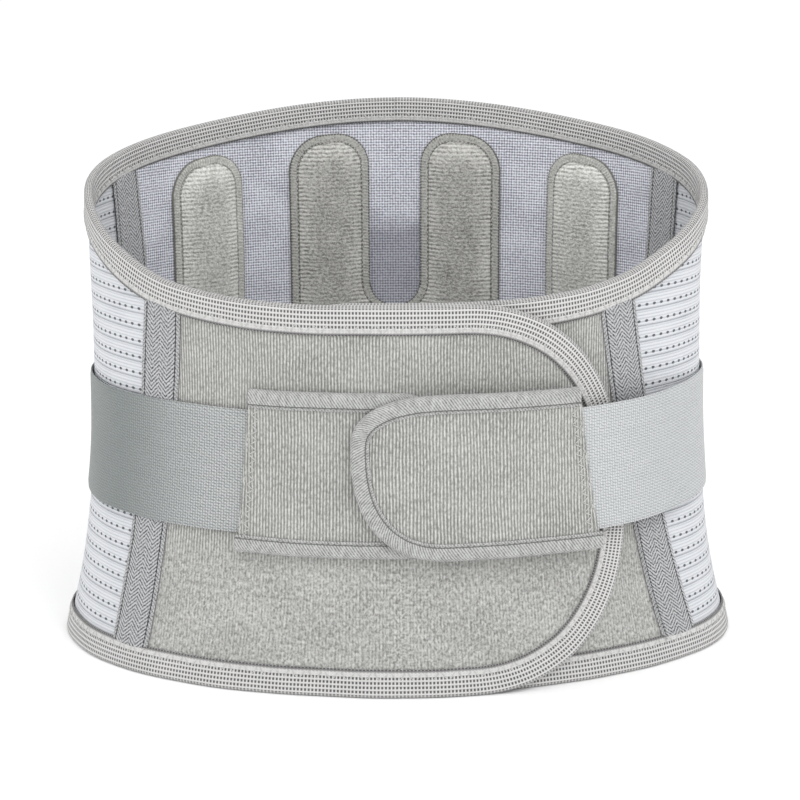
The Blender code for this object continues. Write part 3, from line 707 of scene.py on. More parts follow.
@dataclass(frozen=True)
class WovenBinding(Finish):
    """Open woven elastic tape: a square grid of small holes between flat cords."""

    light: Colour = tone(222, 221, 220)
    dark: Colour = tone(92, 91, 91)
    pitch: float = 0.00158
    hole: float = 0.00062
    free_edge: float = 0.0144

    def draw(self, nodes: Nodes) -> Material:
        """A grid of holes painted dark as shade, with cords running along the tape, and a painted
        shadow line at the free edge.

        Args:
            nodes: The material's nodes.

        Returns:
            The material.
        """
        place, along, across, _ = nodes.place()
        a, b = abs(along.cell(self.pitch)), abs(across.cell(self.pitch))
        # The holes are darkened with painted shade.
        holes = a.rise(self.hole, self.hole * 0.45) * b.rise(self.hole, self.hole * 0.45)
        cord = b.rise(0.0, self.pitch / 2)
        cross = a.rise(0.0, self.pitch / 2)
        fine = nodes.noise(place, (0.0005, 0.0004, 1), 1)
        worn = nodes.noise(place, (0.02, 0.008, 1), 2)
        # Painted shadow: a thin dark line along the free edge.
        near = abs(abs(across) - self.free_edge).rise(0.0006, 0.0002)
        bead = abs(abs(across) - self.free_edge + 0.0010).rise(0.0006, 0.0002)
        shade = 0.90 + worn * 0.25 - fine * 0.26 - holes * (1 - bead) * 0.80 - near * 0.6
        relief = cord * 0.30 + cross * 0.10 + fine * 0.08 - holes * 0.22 + bead * 0.2
        colour = nodes.mix(shade.rise(0.0, 1.0), self.dark, self.light)
        return nodes.cloth(colour, relief, rough=0.8, sheen=0.12, gloss=0.25)


@dataclass(frozen=True)
class LiningMesh(Finish):
    """Fine knitted mesh, with painted shadow where the strap anchor lies behind it."""

    light: Colour = tone(212, 213, 221, 0.78)
    dark: Colour = tone(104, 105, 115, 0.78)
    # Colour of the painted shadow over the strap anchor.
    band: Colour = tone(158, 159, 169, 0.78)
    pitch: float = 0.00145
    anchor: Pair = (0.040, 0.194)

    def draw(self, nodes: Nodes) -> Material:
        """Crossed fine threads with soft patches and the band of painted shadow.

        Args:
            nodes: The material's nodes.

        Returns:
            The material.
        """
        place, run, z, _ = nodes.place()
        mesh = run.wave(self.pitch) * 0.45 + z.wave(self.pitch) * 0.55
        fine = nodes.noise(place, (0.0012, 0.0010, 1), 1).rise(0.25, 0.75)
        patch = nodes.noise(place, (0.022, 0.016, 1), 2)
        shade = (mesh * 0.85 + fine * 0.35 + patch * 0.4 - 0.28).rise(0.0, 1.0)
        cloth = nodes.mix(shade, self.dark, self.light)
        # Painted shadow of the strap anchor behind the lining, in the middle of the back.
        inside = abs(run).rise(self.anchor[0] + 0.001, self.anchor[0] - 0.003)
        soft = nodes.noise(place, (0.012, 0.012, 1), 2) * 0.012
        under = (z + soft).rise(self.anchor[1] + 0.010, self.anchor[1] - 0.004) * inside
        deep = nodes.mix(shade, tuple(c * 0.3 for c in self.band), self.band)
        colour = nodes.mix(under * 0.85, cloth, deep)
        return nodes.cloth(colour, mesh * 0.22 + fine * 0.12, rough=0.82, sheen=0.2, gloss=0.25)


@dataclass(frozen=True)
class PadVelour(Finish):
    """Thick velour with short level ribs that show most towards the stitched rim."""

    light: Colour = tone(206, 206, 202, 0.72)
    dark: Colour = tone(100, 100, 96, 0.72)
    rib: float = 0.0021

    def draw(self, nodes: Nodes) -> Material:
        """Level ribs, tufts and fibres, with painted shade in the stitched groove and along the
        edge.

        Args:
            nodes: The material's nodes.

        Returns:
            The material.
        """
        place, _, z, depth = nodes.place()
        wander = nodes.noise(place, (0.006, 0.01, 1), 1) * 0.0012
        near = depth.rise(0.016, 0.0045)
        ribs = (z + wander).wave(self.rib) * (near * 0.75 + 0.25)
        tuft = nodes.noise(place, (0.0021, 0.0013, 1), 2).rise(0.25, 0.75)
        fibre = nodes.noise(place, (0.0010, 0.0010, 1), 1).rise(0.25, 0.75)
        rim = depth.rise(0.0046, 0.0036)
        # Stitched groove between rim and dome, darkened with painted shade.
        shaded_groove = abs(depth - 0.0043).rise(0.0007, 0.0002)
        soft = nodes.noise(place, (0.012, 0.02, 1), 2)
        # Painted shade: darker along the pad's edge, where it meets the lining.
        outline = depth.rise(0.0009, 0.0002)
        relief = ribs * (1 - rim) * 0.55 + tuft * 0.5 + fibre * 0.35 - shaded_groove * 0.7
        shade = relief * 0.7 + soft * 0.35 + rim * 0.16 - outline * 0.8 - 0.06
        colour = nodes.mix(shade.rise(-0.05, 1.05), self.dark, self.light)
        return nodes.cloth(colour, relief * 0.36, rough=0.95, sheen=0.3, gloss=0.1)


@dataclass(frozen=True)
class StrapWebbing(Finish):
    """Smooth elastic webbing: fine dotted weave with a satin gloss, and painted shade that deepens
    round the side.
    """

    light: Colour = tone(202, 204, 204)
    dark: Colour = tone(128, 132, 132)
    # Colour of the painted shade round the side; reach gives where it comes in and depth how
    # strong it is.
    side: Colour = tone(134, 141, 140)
    reach: Pair = (0.085, 0.150)
    depth: float = 0.95
    pitch: float = 0.00135

    def draw(self, nodes: Nodes) -> Material:
        """Dotted weave with slanted floats, and painted shade round the side.

        Args:
            nodes: The material's nodes.

        Returns:
            The material.
        """
        place, run, z, _ = nodes.place()
        dots = run.wave(self.pitch) * z.wave(self.pitch)
        floats = (run * 0.5 + z).wave(0.0017)
        fine = nodes.noise(place, (0.0010, 0.0008, 1), 1).rise(0.25, 0.75)
        pull = nodes.noise(place, (0.018, 0.004, 1), 2)
        shade = (dots * 0.75 + floats * 0.3 + fine * 0.3 + pull * 0.2 - 0.12).rise(0.0, 1.0)
        cloth = nodes.mix(shade, self.dark, self.light)
        deep = nodes.mix(shade, tuple(c * 0.66 for c in self.side), self.side)
        edge = abs(z - 0.1068).rise(0.0282, 0.0296)
        # Painted shade, darker round the belt's side.
        painted_side_shade = abs(run).rise(*self.reach) * abs(run).rise(0.30, 0.22) * self.depth
        colour = nodes.mix(painted_side_shade, cloth, deep)
        relief = dots * 0.12 + floats * 0.06 + fine * 0.05 - edge * 0.2
        return nodes.cloth(colour, relief, rough=0.62, sheen=0.15, gloss=0.35)


@dataclass(frozen=True)
class TwillBinding(Finish):
    """Narrow soft tape in a fine slanted twill."""

    light: Colour = tone(208, 209, 207)
    dark: Colour = tone(112, 113, 111)
    pitch: float = 0.00140
    seam: float = 0.0082

    def draw(self, nodes: Nodes) -> Material:
        """Slanted twill with small puckers across the tape, and painted shade in the sewn groove.

        Args:
            nodes: The material's nodes.

        Returns:
            The material.
        """
        place, along, across, _ = nodes.place()
        twill = (along + across * 0.8).wave(self.pitch)
        fine = nodes.noise(place, (0.0009, 0.0009, 1), 1).rise(0.25, 0.75)
        pucker = nodes.noise(place, (0.0020, 0.006, 1), 1).rise(0.2, 0.8)
        # Sewn groove along the tape, darkened with painted shade.
        seam = abs(abs(across) - self.seam).rise(0.0005, 0.0001)
        relief = twill * 0.4 + fine * 0.35 + pucker * 0.5 - seam * 0.6
        shade = twill * 0.45 + fine * 0.25 + pucker * 0.25 + 0.06 - seam * 0.8
        colour = nodes.mix(shade.rise(0.0, 1.0), self.dark, self.light)
        return nodes.cloth(colour, relief * 0.3, rough=0.85, sheen=0.2, gloss=0.2)


@dataclass(frozen=True)
class HookNylon(Finish):
    """Hook fastener: rows of tiny nylon hooks on a flat ground."""

    light: Colour = tone(206, 206, 202)
    dark: Colour = tone(140, 140, 138)
    pitch: float = 0.0013

    def draw(self, nodes: Nodes) -> Material:
        """Staggered hooks as small bright beads.

        Args:
            nodes: The material's nodes.

        Returns:
            The material.
        """
        place, run, z, _ = nodes.place()
        a, b = run.cell(self.pitch), z.cell(self.pitch)
        bead = ((a / 0.0005) ** 2.0 + (b / 0.00036) ** 2.0).rise(1.2, 0.2)
        fine = nodes.noise(place, (0.0008, 0.0008, 1), 2)
        return nodes.finish(
            Base_Color=nodes.mix(bead * 0.8 + fine * 0.2, self.dark, self.light),
            Roughness=0.5,
            Specular_IOR_Level=0.45,
            Normal=nodes.bump(bead * 0.5 + fine * 0.1),
        )


@dataclass(frozen=True)
class ShellKnit(Finish):
    """Close warp knit of the back's outside and of the strap anchor."""

    light: Colour = tone(190, 192, 194)
    dark: Colour = tone(146, 148, 151)
    rib: float = 0.0016

    def draw(self, nodes: Nodes) -> Material:
        """Upright stitches in columns.

        Args:
            nodes: The material's nodes.

        Returns:
            The material.
        """
        place, run, z, _ = nodes.place()
        turn = abs(run.cell(self.rib))
        loops = (z + turn * 1.6).wave(0.0014)
        column = turn.rise(0.0, self.rib / 2)
        fine = nodes.noise(place, (0.0007, 0.0009, 1), 2)
        soft = nodes.noise(place, (0.03, 0.03, 1), 2)
        relief = loops * 0.35 + column * 0.5 + fine * 0.3
        shade = (relief * 0.55 + soft * 0.45 - 0.2).rise(0.0, 1.0)
        colour = nodes.mix(shade, self.dark, self.light)
        return nodes.cloth(colour, relief * 0.3, rough=0.9, sheen=0.2, gloss=0.2)


@dataclass(frozen=True)
class SewingThread(Finish):
    """Spun polyester thread."""

    light: Colour = tone(220, 220, 217)
    dark: Colour = tone(170, 170, 167)

    def draw(self, nodes: Nodes) -> Material:
        """Slight change of tone along the thread.

        Args:
            nodes: The material's nodes.

        Returns:
            The material.
        """
        ply = nodes.noise(nodes.place()[0], (0.0006, 0.0006, 1), 2)
        return nodes.finish(
            Base_Color=nodes.mix(ply, self.dark, self.light),
            Roughness=0.6,
            Sheen_Weight=0.2,
            Specular_IOR_Level=0.35,
        )


@dataclass(frozen=True)
class Foam(Finish):
    """Open-cell foam of the centre pad's core."""

    light: Colour = (0.62, 0.61, 0.54)
    dark: Colour = (0.36, 0.35, 0.30)

    def draw(self, nodes: Nodes) -> Material:
        """Fine open cells.

        Args:
            nodes: The material's nodes.

        Returns:
            The material.
        """
        place = nodes.add("ShaderNodeTexCoord").outputs["Object"]
        cells = nodes.noise(place, (0.0009, 0.0009, 0.0009), 3)
        return nodes.finish(
            Base_Color=nodes.mix(cells.rise(0.3, 0.7), self.dark, self.light),
            Roughness=0.95,
            Normal=nodes.bump(cells * 0.5),
        )


@dataclass(frozen=True)
class SpringSteel(Finish):
    """Brushed spring steel of the stays."""

    light: Colour = (0.62, 0.62, 0.64)
    dark: Colour = (0.45, 0.45, 0.47)

    def draw(self, nodes: Nodes) -> Material:
        """Brushed lines along the stay.

        Args:
            nodes: The material's nodes.

        Returns:
            The material.
        """
        place = nodes.add("ShaderNodeTexCoord").outputs["Object"]
        brushed = nodes.noise(place, (0.0004, 0.0004, 0.02), 2)
        return nodes.finish(
            Base_Color=nodes.mix(brushed, self.dark, self.light),
            Roughness=brushed * 0.25 + 0.22,
            Metallic=1.0,
            Normal=nodes.bump(brushed * 0.02),
        )


LOOP = LoopCloth("loop cloth")
END_LOOP = LoopCloth("strap end loop cloth", plush_from=-1.0, plush_to=-2.0)
ELASTIC = PerforatedElastic("perforated elastic")
TAPE = HerringboneTape("herringbone tape")
BACK_TAPE = HerringboneTape(
    "back herringbone tape", light=tone(212, 213, 215), dark=tone(72, 72, 76)
)
BINDING = WovenBinding("woven edge binding")
LINING = LiningMesh("lining mesh")
VELOUR = PadVelour("pad velour")
CENTRE_VELOUR = PadVelour(
    "centre pad velour", light=tone(190, 189, 185, 0.76), dark=tone(82, 82, 78, 0.76)
)
LEFT_WEBBING = StrapWebbing("left strap webbing")
# Lighter webbing of the right strap, with weaker painted shade round the side.
RIGHT_WEBBING = StrapWebbing(
    "right strap webbing", light=tone(219, 221, 222), dark=tone(164, 167, 168), depth=0.12
)
TWILL = TwillBinding("twill strap binding")
HOOK = HookNylon("hook fastener")
SHELL = ShellKnit("shell knit")
THREAD = SewingThread("sewing thread")
TRIM_THREAD = SewingThread("trim thread", light=tone(190, 191, 189), dark=tone(128, 129, 127))
PAD_THREAD = SewingThread(
    "pad thread", light=tone(190, 190, 186, 0.76), dark=tone(124, 124, 120, 0.76)
)


# ---- Cloth laid out in belt coordinates ----

def constant(value: float) -> Edge:
    """Edge or limit that stays at one value."""
    return lambda place: np.full_like(np.asarray(place, float), value)


def below_top(margin: float) -> Edge:
    """Limit that stays a margin under the belt's top edge."""
    return lambda run: RING.top_edge(run) - margin


def raised(level: Level, by: float) -> Level:
    """Level that stays by a distance above another."""
    return lambda run: level(run) + by


def band(left: Edge, right: Edge, low: Edge, high: Edge, columns: int, rows: int) -> Grid:
    """Grid of runs and heights between two side edges and two limits.

    Args:
        left: Run of the left edge at a height.
        right: Run of the right edge at a height.
        low: Height of the lower limit at a run.
        high: Height of the upper limit at a run.
        columns: How many columns of cells.
        rows: How many rows of cells.

    Returns:
        The runs and the heights, a row of the arrays for each column of points.
    """
    share = np.linspace(0, 1, columns + 1)[:, None]

    def run_at(z: Array) -> Array:
        """Runs of the columns at their heights."""
        return left(z) + share * (right(z) - left(z))

    bottom = np.full_like(share, RING.waist_height)
    top = bottom.copy()
    for _ in range(8):
        bottom, top = low(run_at(bottom)), high(run_at(top))
    z = bottom + (top - bottom) * np.linspace(0, 1, rows + 1)[None, :]
    return run_at(z), z


@dataclass(frozen=True)
class RoundEnd:
    """A free end rounded as part of a superellipse."""

    start: float
    tip: float
    low: float
    high: float
    middle: float
    power: float
    last: float = 86.0

    def limits(self, share: Array) -> tuple[Array, Array]:
        """Both edges.

        Args:
            share: Share of the way from the start to the tip.

        Returns:
            Heights of the lower and the upper edge.
        """
        fall = (1 - np.clip(share, 0, 1) ** self.power) ** (1 / self.power)
        low = self.middle - (self.middle - self.low) * fall
        return low, self.middle + (self.high - self.middle) * fall

    def grid(self, columns: int, rows: int) -> Grid:
        """Grid from the start to the tip, with runs that ascend.

        Args:
            columns: How many columns of cells.
            rows: How many rows of cells.

        Returns:
            The grid.
        """
        share = np.sin(np.linspace(0, math.radians(self.last), columns + 1))[:, None]
        low, high = self.limits(share)
        z = low + (high - low) * np.linspace(0, 1, rows + 1)[None, :]
        run = self.start + (self.tip - self.start) * share + 0 * z
        return (run, z) if self.tip > self.start else (run[::-1], z[::-1])

    def outline(self, steps: int) -> list[Pair]:
        """Edge from the top of the start round the tip to the bottom.

        Args:
            steps: How many steps it takes to the tip.

        Returns:
            Runs and heights.
        """
        turns = np.linspace(0, math.pi, 2 * steps + 1)
        share = np.sin(turns)
        low, high = self.limits(share)
        z = np.where(np.arange(len(turns)) <= steps, high, low)
        return list(zip(self.start + (self.tip - self.start) * share, z))

    def inset(self, by: float) -> "RoundEnd":
        """The same end, smaller all round.

        Args:
            by: How much smaller.

        Returns:
            The smaller end.
        """
        tip = self.tip - math.copysign(by, self.tip - self.start)
        low, high = self.low + by, self.high - by
        return RoundEnd(self.start, tip, low, high, self.middle, self.power)


def joined(*grids: Grid) -> Grid:
    """One grid from grids that meet at a column, from left to right."""
    parts = [[grids[0][k]] + [g[k][1:] for g in grids[1:]] for k in (0, 1)]
    return np.concatenate(parts[0]), np.concatenate(parts[1])


class Piece:
    """A mesh gathered in world space, with the place of each point on its cloth."""

    def __init__(self) -> None:
        """Starts with no points."""
        self.points: list[Array] = []
        self.places: list[Array] = []
        self.faces: list[Array] = []
        self.count = 0

    def add(self, points: Array, places: Array, faces: Sequence[Array]) -> None:
        """Adds points and the faces between them.

        Args:
            points: World points.
            places: Place of each on the cloth, in metres.
            faces: Arrays of corner numbers, counted from this call's first point.
        """
        self.points.append(points.reshape(-1, 3))
        self.places.append(places.reshape(-1, 3))
        self.faces += [f + self.count for f in faces]
        self.count += len(self.points[-1])

    def make(self, name: str, finish: Finish, crease: float = 40.0) -> Object:
        """Makes the object, with its finish.

        Args:
            name: The object's name.
            finish: Its look.
            crease: Angle in degrees above which an edge stays sharp.

        Returns:
            The object.
        """
        mesh = bpy.data.meshes.new(name)
        faces = [row for group in self.faces for row in group.tolist()]
        mesh.from_pydata(np.concatenate(self.points).tolist(), [], faces)
        attribute = mesh.attributes.new("cloth", "FLOAT_VECTOR", "POINT")
        attribute.data.foreach_set("vector", np.concatenate(self.places).astype("f").ravel())
        mesh.shade_smooth()
        mesh.set_sharp_from_angle(angle=math.radians(crease))
        mesh.materials.append(finish.material())
        made = bpy.data.objects.new(name, mesh)
        bpy.context.scene.collection.objects.link(made)
        return made


def cells(numbers: Array) -> Array:
    """Four-cornered faces of a grid of point numbers, facing outward."""
    corners = [numbers[:-1, :-1], numbers[1:, :-1], numbers[1:, 1:], numbers[:-1, 1:]]
    return np.stack(corners, -1).reshape(-1, 4)


def slab(
    grid: Grid,
    outer: Array,
    inner: Array,
    places: Array | None = None,
    bevel: float = 0.0003,
) -> Piece:
    """Closed sheet between two levels over a grid, with its edges turned over softly.

    Args:
        grid: Runs and heights.
        outer: Outer level at each point.
        inner: Inner level at each point.
        places: Places on the cloth; the runs and heights themselves if not given.
        bevel: How far the outer and inner faces draw in at the edge.

    Returns:
        The sheet.
    """
    run, z = grid
    outer, inner = np.broadcast_to(outer, run.shape), np.broadcast_to(inner, run.shape)
    if places is None:
        places = np.stack([run, z, np.zeros_like(run)], -1)
    edge = np.zeros_like(run)
    edge[[0, -1], :] = 1
    edge[:, [0, -1]] = 1
    low, high = inner + edge * bevel, outer - edge * bevel
    points = np.concatenate([RING.point(run, z, high), RING.point(run, z, low)])
    n = run.size
    numbers = np.arange(n).reshape(run.shape)
    loop = np.concatenate(
        [numbers[:, 0], numbers[-1, 1:], numbers[-2::-1, -1], numbers[0, -2:0:-1]]
    )
    after = np.roll(loop, -1)
    sides = np.stack([loop, loop + n, after + n, after], -1)
    made = Piece()
    made.add(
        points,
        np.concatenate([places, places]),
        [cells(numbers), cells(numbers)[:, ::-1] + n, sides],
    )
    return made


@dataclass(frozen=True)
class Route:
    """A line of belt coordinates with the cloth on its right-hand side, as seen from outside."""

    line: Array
    step: float = 0.0022

    @cached_property
    def track(self) -> tuple[Array, Array, Array]:
        """The line in even steps.

        Returns:
            Distances along the line, points there, and the directions into the cloth.
        """
        line = np.asarray(self.line, float)
        line = line[np.concatenate([[True], np.hypot(*np.diff(line, axis=0).T) > 1e-6])]
        marks = np.concatenate([[0.0], np.cumsum(np.hypot(*np.diff(line, axis=0).T))])
        along = np.linspace(0, marks[-1], max(2, int(marks[-1] / self.step)) + 1)
        even = np.stack([np.interp(along, marks, line[:, k]) for k in (0, 1)], -1)
        slope = np.gradient(even, axis=0)
        slope /= np.hypot(*slope.T)[:, None]
        return along, even, np.stack([slope[:, 1], -slope[:, 0]], -1)

    @property
    def length(self) -> float:
        """Length of the line."""
        return float(self.track[0][-1])

    def at(self, along: Array, depth: Array) -> tuple[Array, Array]:
        """Belt coordinates beside the line.

        Args:
            along: Distances along the line.
            depth: Depths into the cloth.

        Returns:
            Runs and heights.
        """
        marks, even, inward = self.track
        place = [np.interp(along, marks, even[:, k]) for k in (0, 1)]
        turn = [np.interp(along, marks, inward[:, k]) for k in (0, 1)]
        return place[0] + turn[0] * depth, place[1] + turn[1] * depth


@dataclass(frozen=True)
class FoldedTape:
    """Tape folded over an edge and sewn down through both arms."""

    width: float
    thickness: float = 0.0006
    fold: float = 0.0017
    crown: float = 0.00025
    fullness: float = 0.7
    inner_share: float = 1.0

    def profile(self) -> Array:
        """Cross-section of the tape, round its outside and back along its inside.

        Returns:
            Depth, share from the under level to the over level, offset and place across.
        """
        wide, t, fold = self.width, self.thickness, self.fold
        arms = np.linspace(1, 0, 7)
        depths = fold + (wide - fold) * arms
        puff = self.crown * np.sin(math.pi * arms) ** self.fullness
        rows = [(d, 1.0, t + p) for d, p in zip(depths, puff)]
        for a in np.linspace(0, math.pi, 9)[1:-1]:
            rows.append((fold * (1 - math.sin(a)), (1 + math.cos(a)) / 2, t * math.cos(a)))
        short = fold + (depths - fold) * self.inner_share
        rows += [(d, 0.0, -t - p) for d, p in zip(short[::-1], puff[::-1])]
        size = len(rows)
        rows += [(short[0], 0.0, 0.0), (fold, 0.0, 0.0)]
        rows += [(t, 0.5, 0.0), (fold, 1.0, 0.0), (wide, 1.0, 0.0)]
        across = np.linspace(-1, 1, size) * (wide + fold / 2)
        across = np.concatenate([across, [wide, 0.0, 0.0, 0.0, -wide]])
        return np.column_stack([np.array(rows), across])

    def sweep(self, route: Route, over: Level, under: Level) -> Piece:
        """Sweeps the folded tape along an edge.

        Args:
            route: The edge.
            over: Level of the outer arm's underside, at a run.
            under: Level of the inner arm's upper side, at a run.

        Returns:
            The tape.
        """
        shape = self.profile()
        along = route.track[0]
        far = along[:, None] + 0 * shape[None, :, 0]
        depth = shape[None, :, 0] + 0 * far
        run, z = route.at(far, depth)
        top, low = over(run), under(run)
        out = low + (top - low) * shape[None, :, 1] + shape[None, :, 2]
        places = np.stack([far, shape[None, :, 3] + 0 * far, 0 * far], -1)
        numbers = np.arange(far.size).reshape(far.shape)
        ring = np.concatenate([numbers, numbers[:, :1]], 1)
        made = Piece()
        faces = [cells(ring), numbers[:1], numbers[-1:, ::-1]]
        made.add(RING.point(run, z, out), places, faces)
        return made


@dataclass
class Threads:
    """Many short stitches in one mesh, each a thread that arches off the cloth."""

    radius: float = 0.00026
    rise: float = 0.00035
    lead: float = 0.1
    taper: float = 0.45
    sink: float = 0.3
    corners: int = 5
    starts: list[Array] = field(default_factory=list)
    ends: list[Array] = field(default_factory=list)

    def sew(self, start: Sequence[Array], end: Sequence[Array]) -> None:
        """Adds stitches from start to end, each given as runs, heights and levels."""
        self.starts.append(np.stack(np.broadcast_arrays(*start), -1).reshape(-1, 3))
        self.ends.append(np.stack(np.broadcast_arrays(*end), -1).reshape(-1, 3))

    def along(
        self,
        route: Route,
        depths: Pair,
        pitch: float,
        level: Level,
        cover: float = 0.8,
        lean: float = 0.0,
    ) -> None:
        """Sews a row of stitches that run between two depths beside an edge.

        Args:
            route: The edge.
            depths: Depth at which each stitch starts and ends.
            pitch: Distance along the edge from one stitch to the next.
            level: Level of the cloth at a run.
            cover: Share of the pitch that a stitch spans along the edge.
            lean: Share of the pitch by which every second stitch leans back.
        """
        count = int(route.length / pitch)
        first = (np.arange(count) + self.lead) * pitch
        last = first + pitch * cover
        a, b = (np.full(count, d) for d in depths)
        if lean:
            odd = np.arange(count) % 2 == 1
            a, b = np.where(odd, b, a), np.where(odd, a, b)
        run, z = route.at(first, a)
        far_run, far_z = route.at(last, b)
        self.sew((run, z, level(run)), (far_run, far_z, level(far_run)))

    def make(self, name: str, side: int = 1, finish: Finish = THREAD) -> Object:
        """Makes the stitches.

        Args:
            name: The object's name.
            side: 1 where they lie on the outside, -1 where they lie on the wearer's side.
            finish: Their thread.

        Returns:
            The object.
        """
        start, end = np.concatenate(self.starts), np.concatenate(self.ends)
        stations = np.array([0.0, 0.3, 0.7, 1.0])
        sizes = np.array([self.taper, 1.0, 1.0, self.taper]) * self.radius
        t = stations[None, :, None]
        path = start[:, None] * (1 - t) + end[:, None] * t
        lift = side * (self.rise * np.sin(math.pi * stations) + self.radius * self.sink)
        run, z, level = np.moveaxis(path, -1, 0)
        middle, step = RING.point(run, z, level + lift), 0.001
        normal = (RING.point(run, z, level + lift + step) - middle) / step
        tangent = np.gradient(middle, axis=1)
        tangent /= np.linalg.norm(tangent, axis=-1, keepdims=True)
        aside = np.cross(tangent, normal)
        aside /= np.linalg.norm(aside, axis=-1, keepdims=True)
        normal = np.cross(aside, tangent)
        turns = np.linspace(0, 2 * math.pi, self.corners + 1)[:-1, None]
        ring = np.cos(turns) * aside[:, :, None] + np.sin(turns) * normal[:, :, None]
        points = middle[:, :, None] + ring * sizes[None, :, None, None]
        numbers = np.arange(points[..., 0].size).reshape(points.shape[:3])
        loop = np.concatenate([numbers, numbers[:, :, :1]], 2)
        sides = [loop[:, 1:, :-1], loop[:, 1:, 1:], loop[:, :-1, 1:], loop[:, :-1, :-1]]
        faces = [np.stack(sides, -1).reshape(-1, 4), numbers[:, 0], numbers[:, -1, ::-1]]
        made = Piece()
        made.add(points, np.repeat(path[:, :, None], self.corners, 2), faces)
        return made.make(name, finish, crease=70)


# ---- Joining pieces to the belt's bodies ----


class Body(Enum):
    """Bodies that the pieces ride on."""

    BACK = "back"
    LEFT_WING = "left_wing"
    RIGHT_WING = "right_wing"
    LEFT_STRAP = "left_strap"
    RIGHT_STRAP = "right_strap"

    @property
    def side(self) -> int:
        """-1 for a body on the left and +1 for one on the right."""
        return -1 if self.word == "left" else 1

    @property
    def word(self) -> str:
        """First word of the body's name."""
        return self.value.split("_")[0]


class Slot(Enum):
    """Names of the belt's material slots."""

    LOOP = "loop_fabric"
    ELASTIC = "side_elastic"
    TAPE = "seam_tape"
    BINDING = "edge_binding"
    STRAP_BINDING = "strap_binding"
    BACK = "back_fabric"
    LINING = "lining_mesh"
    PAD = "pad_velour"
    WEBBING = "strap_webbing"
    HOOK = "hook_nylon"
    FOAM = "pad_foam"
    STEEL = "spring_steel"


class Held(Enum):
    """Ways a sheet is held."""

    STRETCHED = "stretched"
    FOLDED = "folded"
    LAID = "laid"


# Where the bend at a side starts and ends: distance from the middle, and depth.
BEND = ((0.150, 0.030), (0.140, -0.050))


def note(made: Object, what: str) -> Object:
    """Reports one finished piece."""
    LOG.info("%s: %s, %d faces", made.name, what, len(made.data.polygons))
    return made


def attach(made: Object, body: Body) -> Object:
    """Lets a piece ride on a body."""
    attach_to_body(made, body.value)
    return note(made, f"rides on {body.value}")


def bend_round(made: Object, body: Body) -> Object:
    """Bakes a continuous piece's placement and logs that it runs round the side, from the back to
    a wing or a strap.

    Args:
        made: The piece.
        body: The wing or strap at the piece's front end.

    Returns:
        The piece.
    """
    start, end = ((body.side * x, y, RING.waist_height) for x, y in BEND)
    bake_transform(made)
    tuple(start)
    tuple(end)
    return note(made, f"bends from the back to {body.value}")


def dress(
    made: Object,
    slot: Slot,
    replaced: Sequence[str],
    flat_size: Pair,
    held: Held,
    rests_on: Sequence[str] = (),
    share: float = 1.0,
) -> Object:
    """Hides the plain solids that a cloth piece stands for.

    Args:
        made: The piece.
        slot: Its material slot; not used.
        replaced: The plain solids that it stands for.
        flat_size: Width and length of the cut cloth.
        held: How the cloth is held; not used.
        rests_on: Pieces that it lies on.
        share: Share of the width times the length that the cut covers.

    Returns:
        The piece.
    """
    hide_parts(*replaced)
    area = flat_size[0] * flat_size[1] * share
    tuple(rests_on)
    return made


# ---- Belt body ----


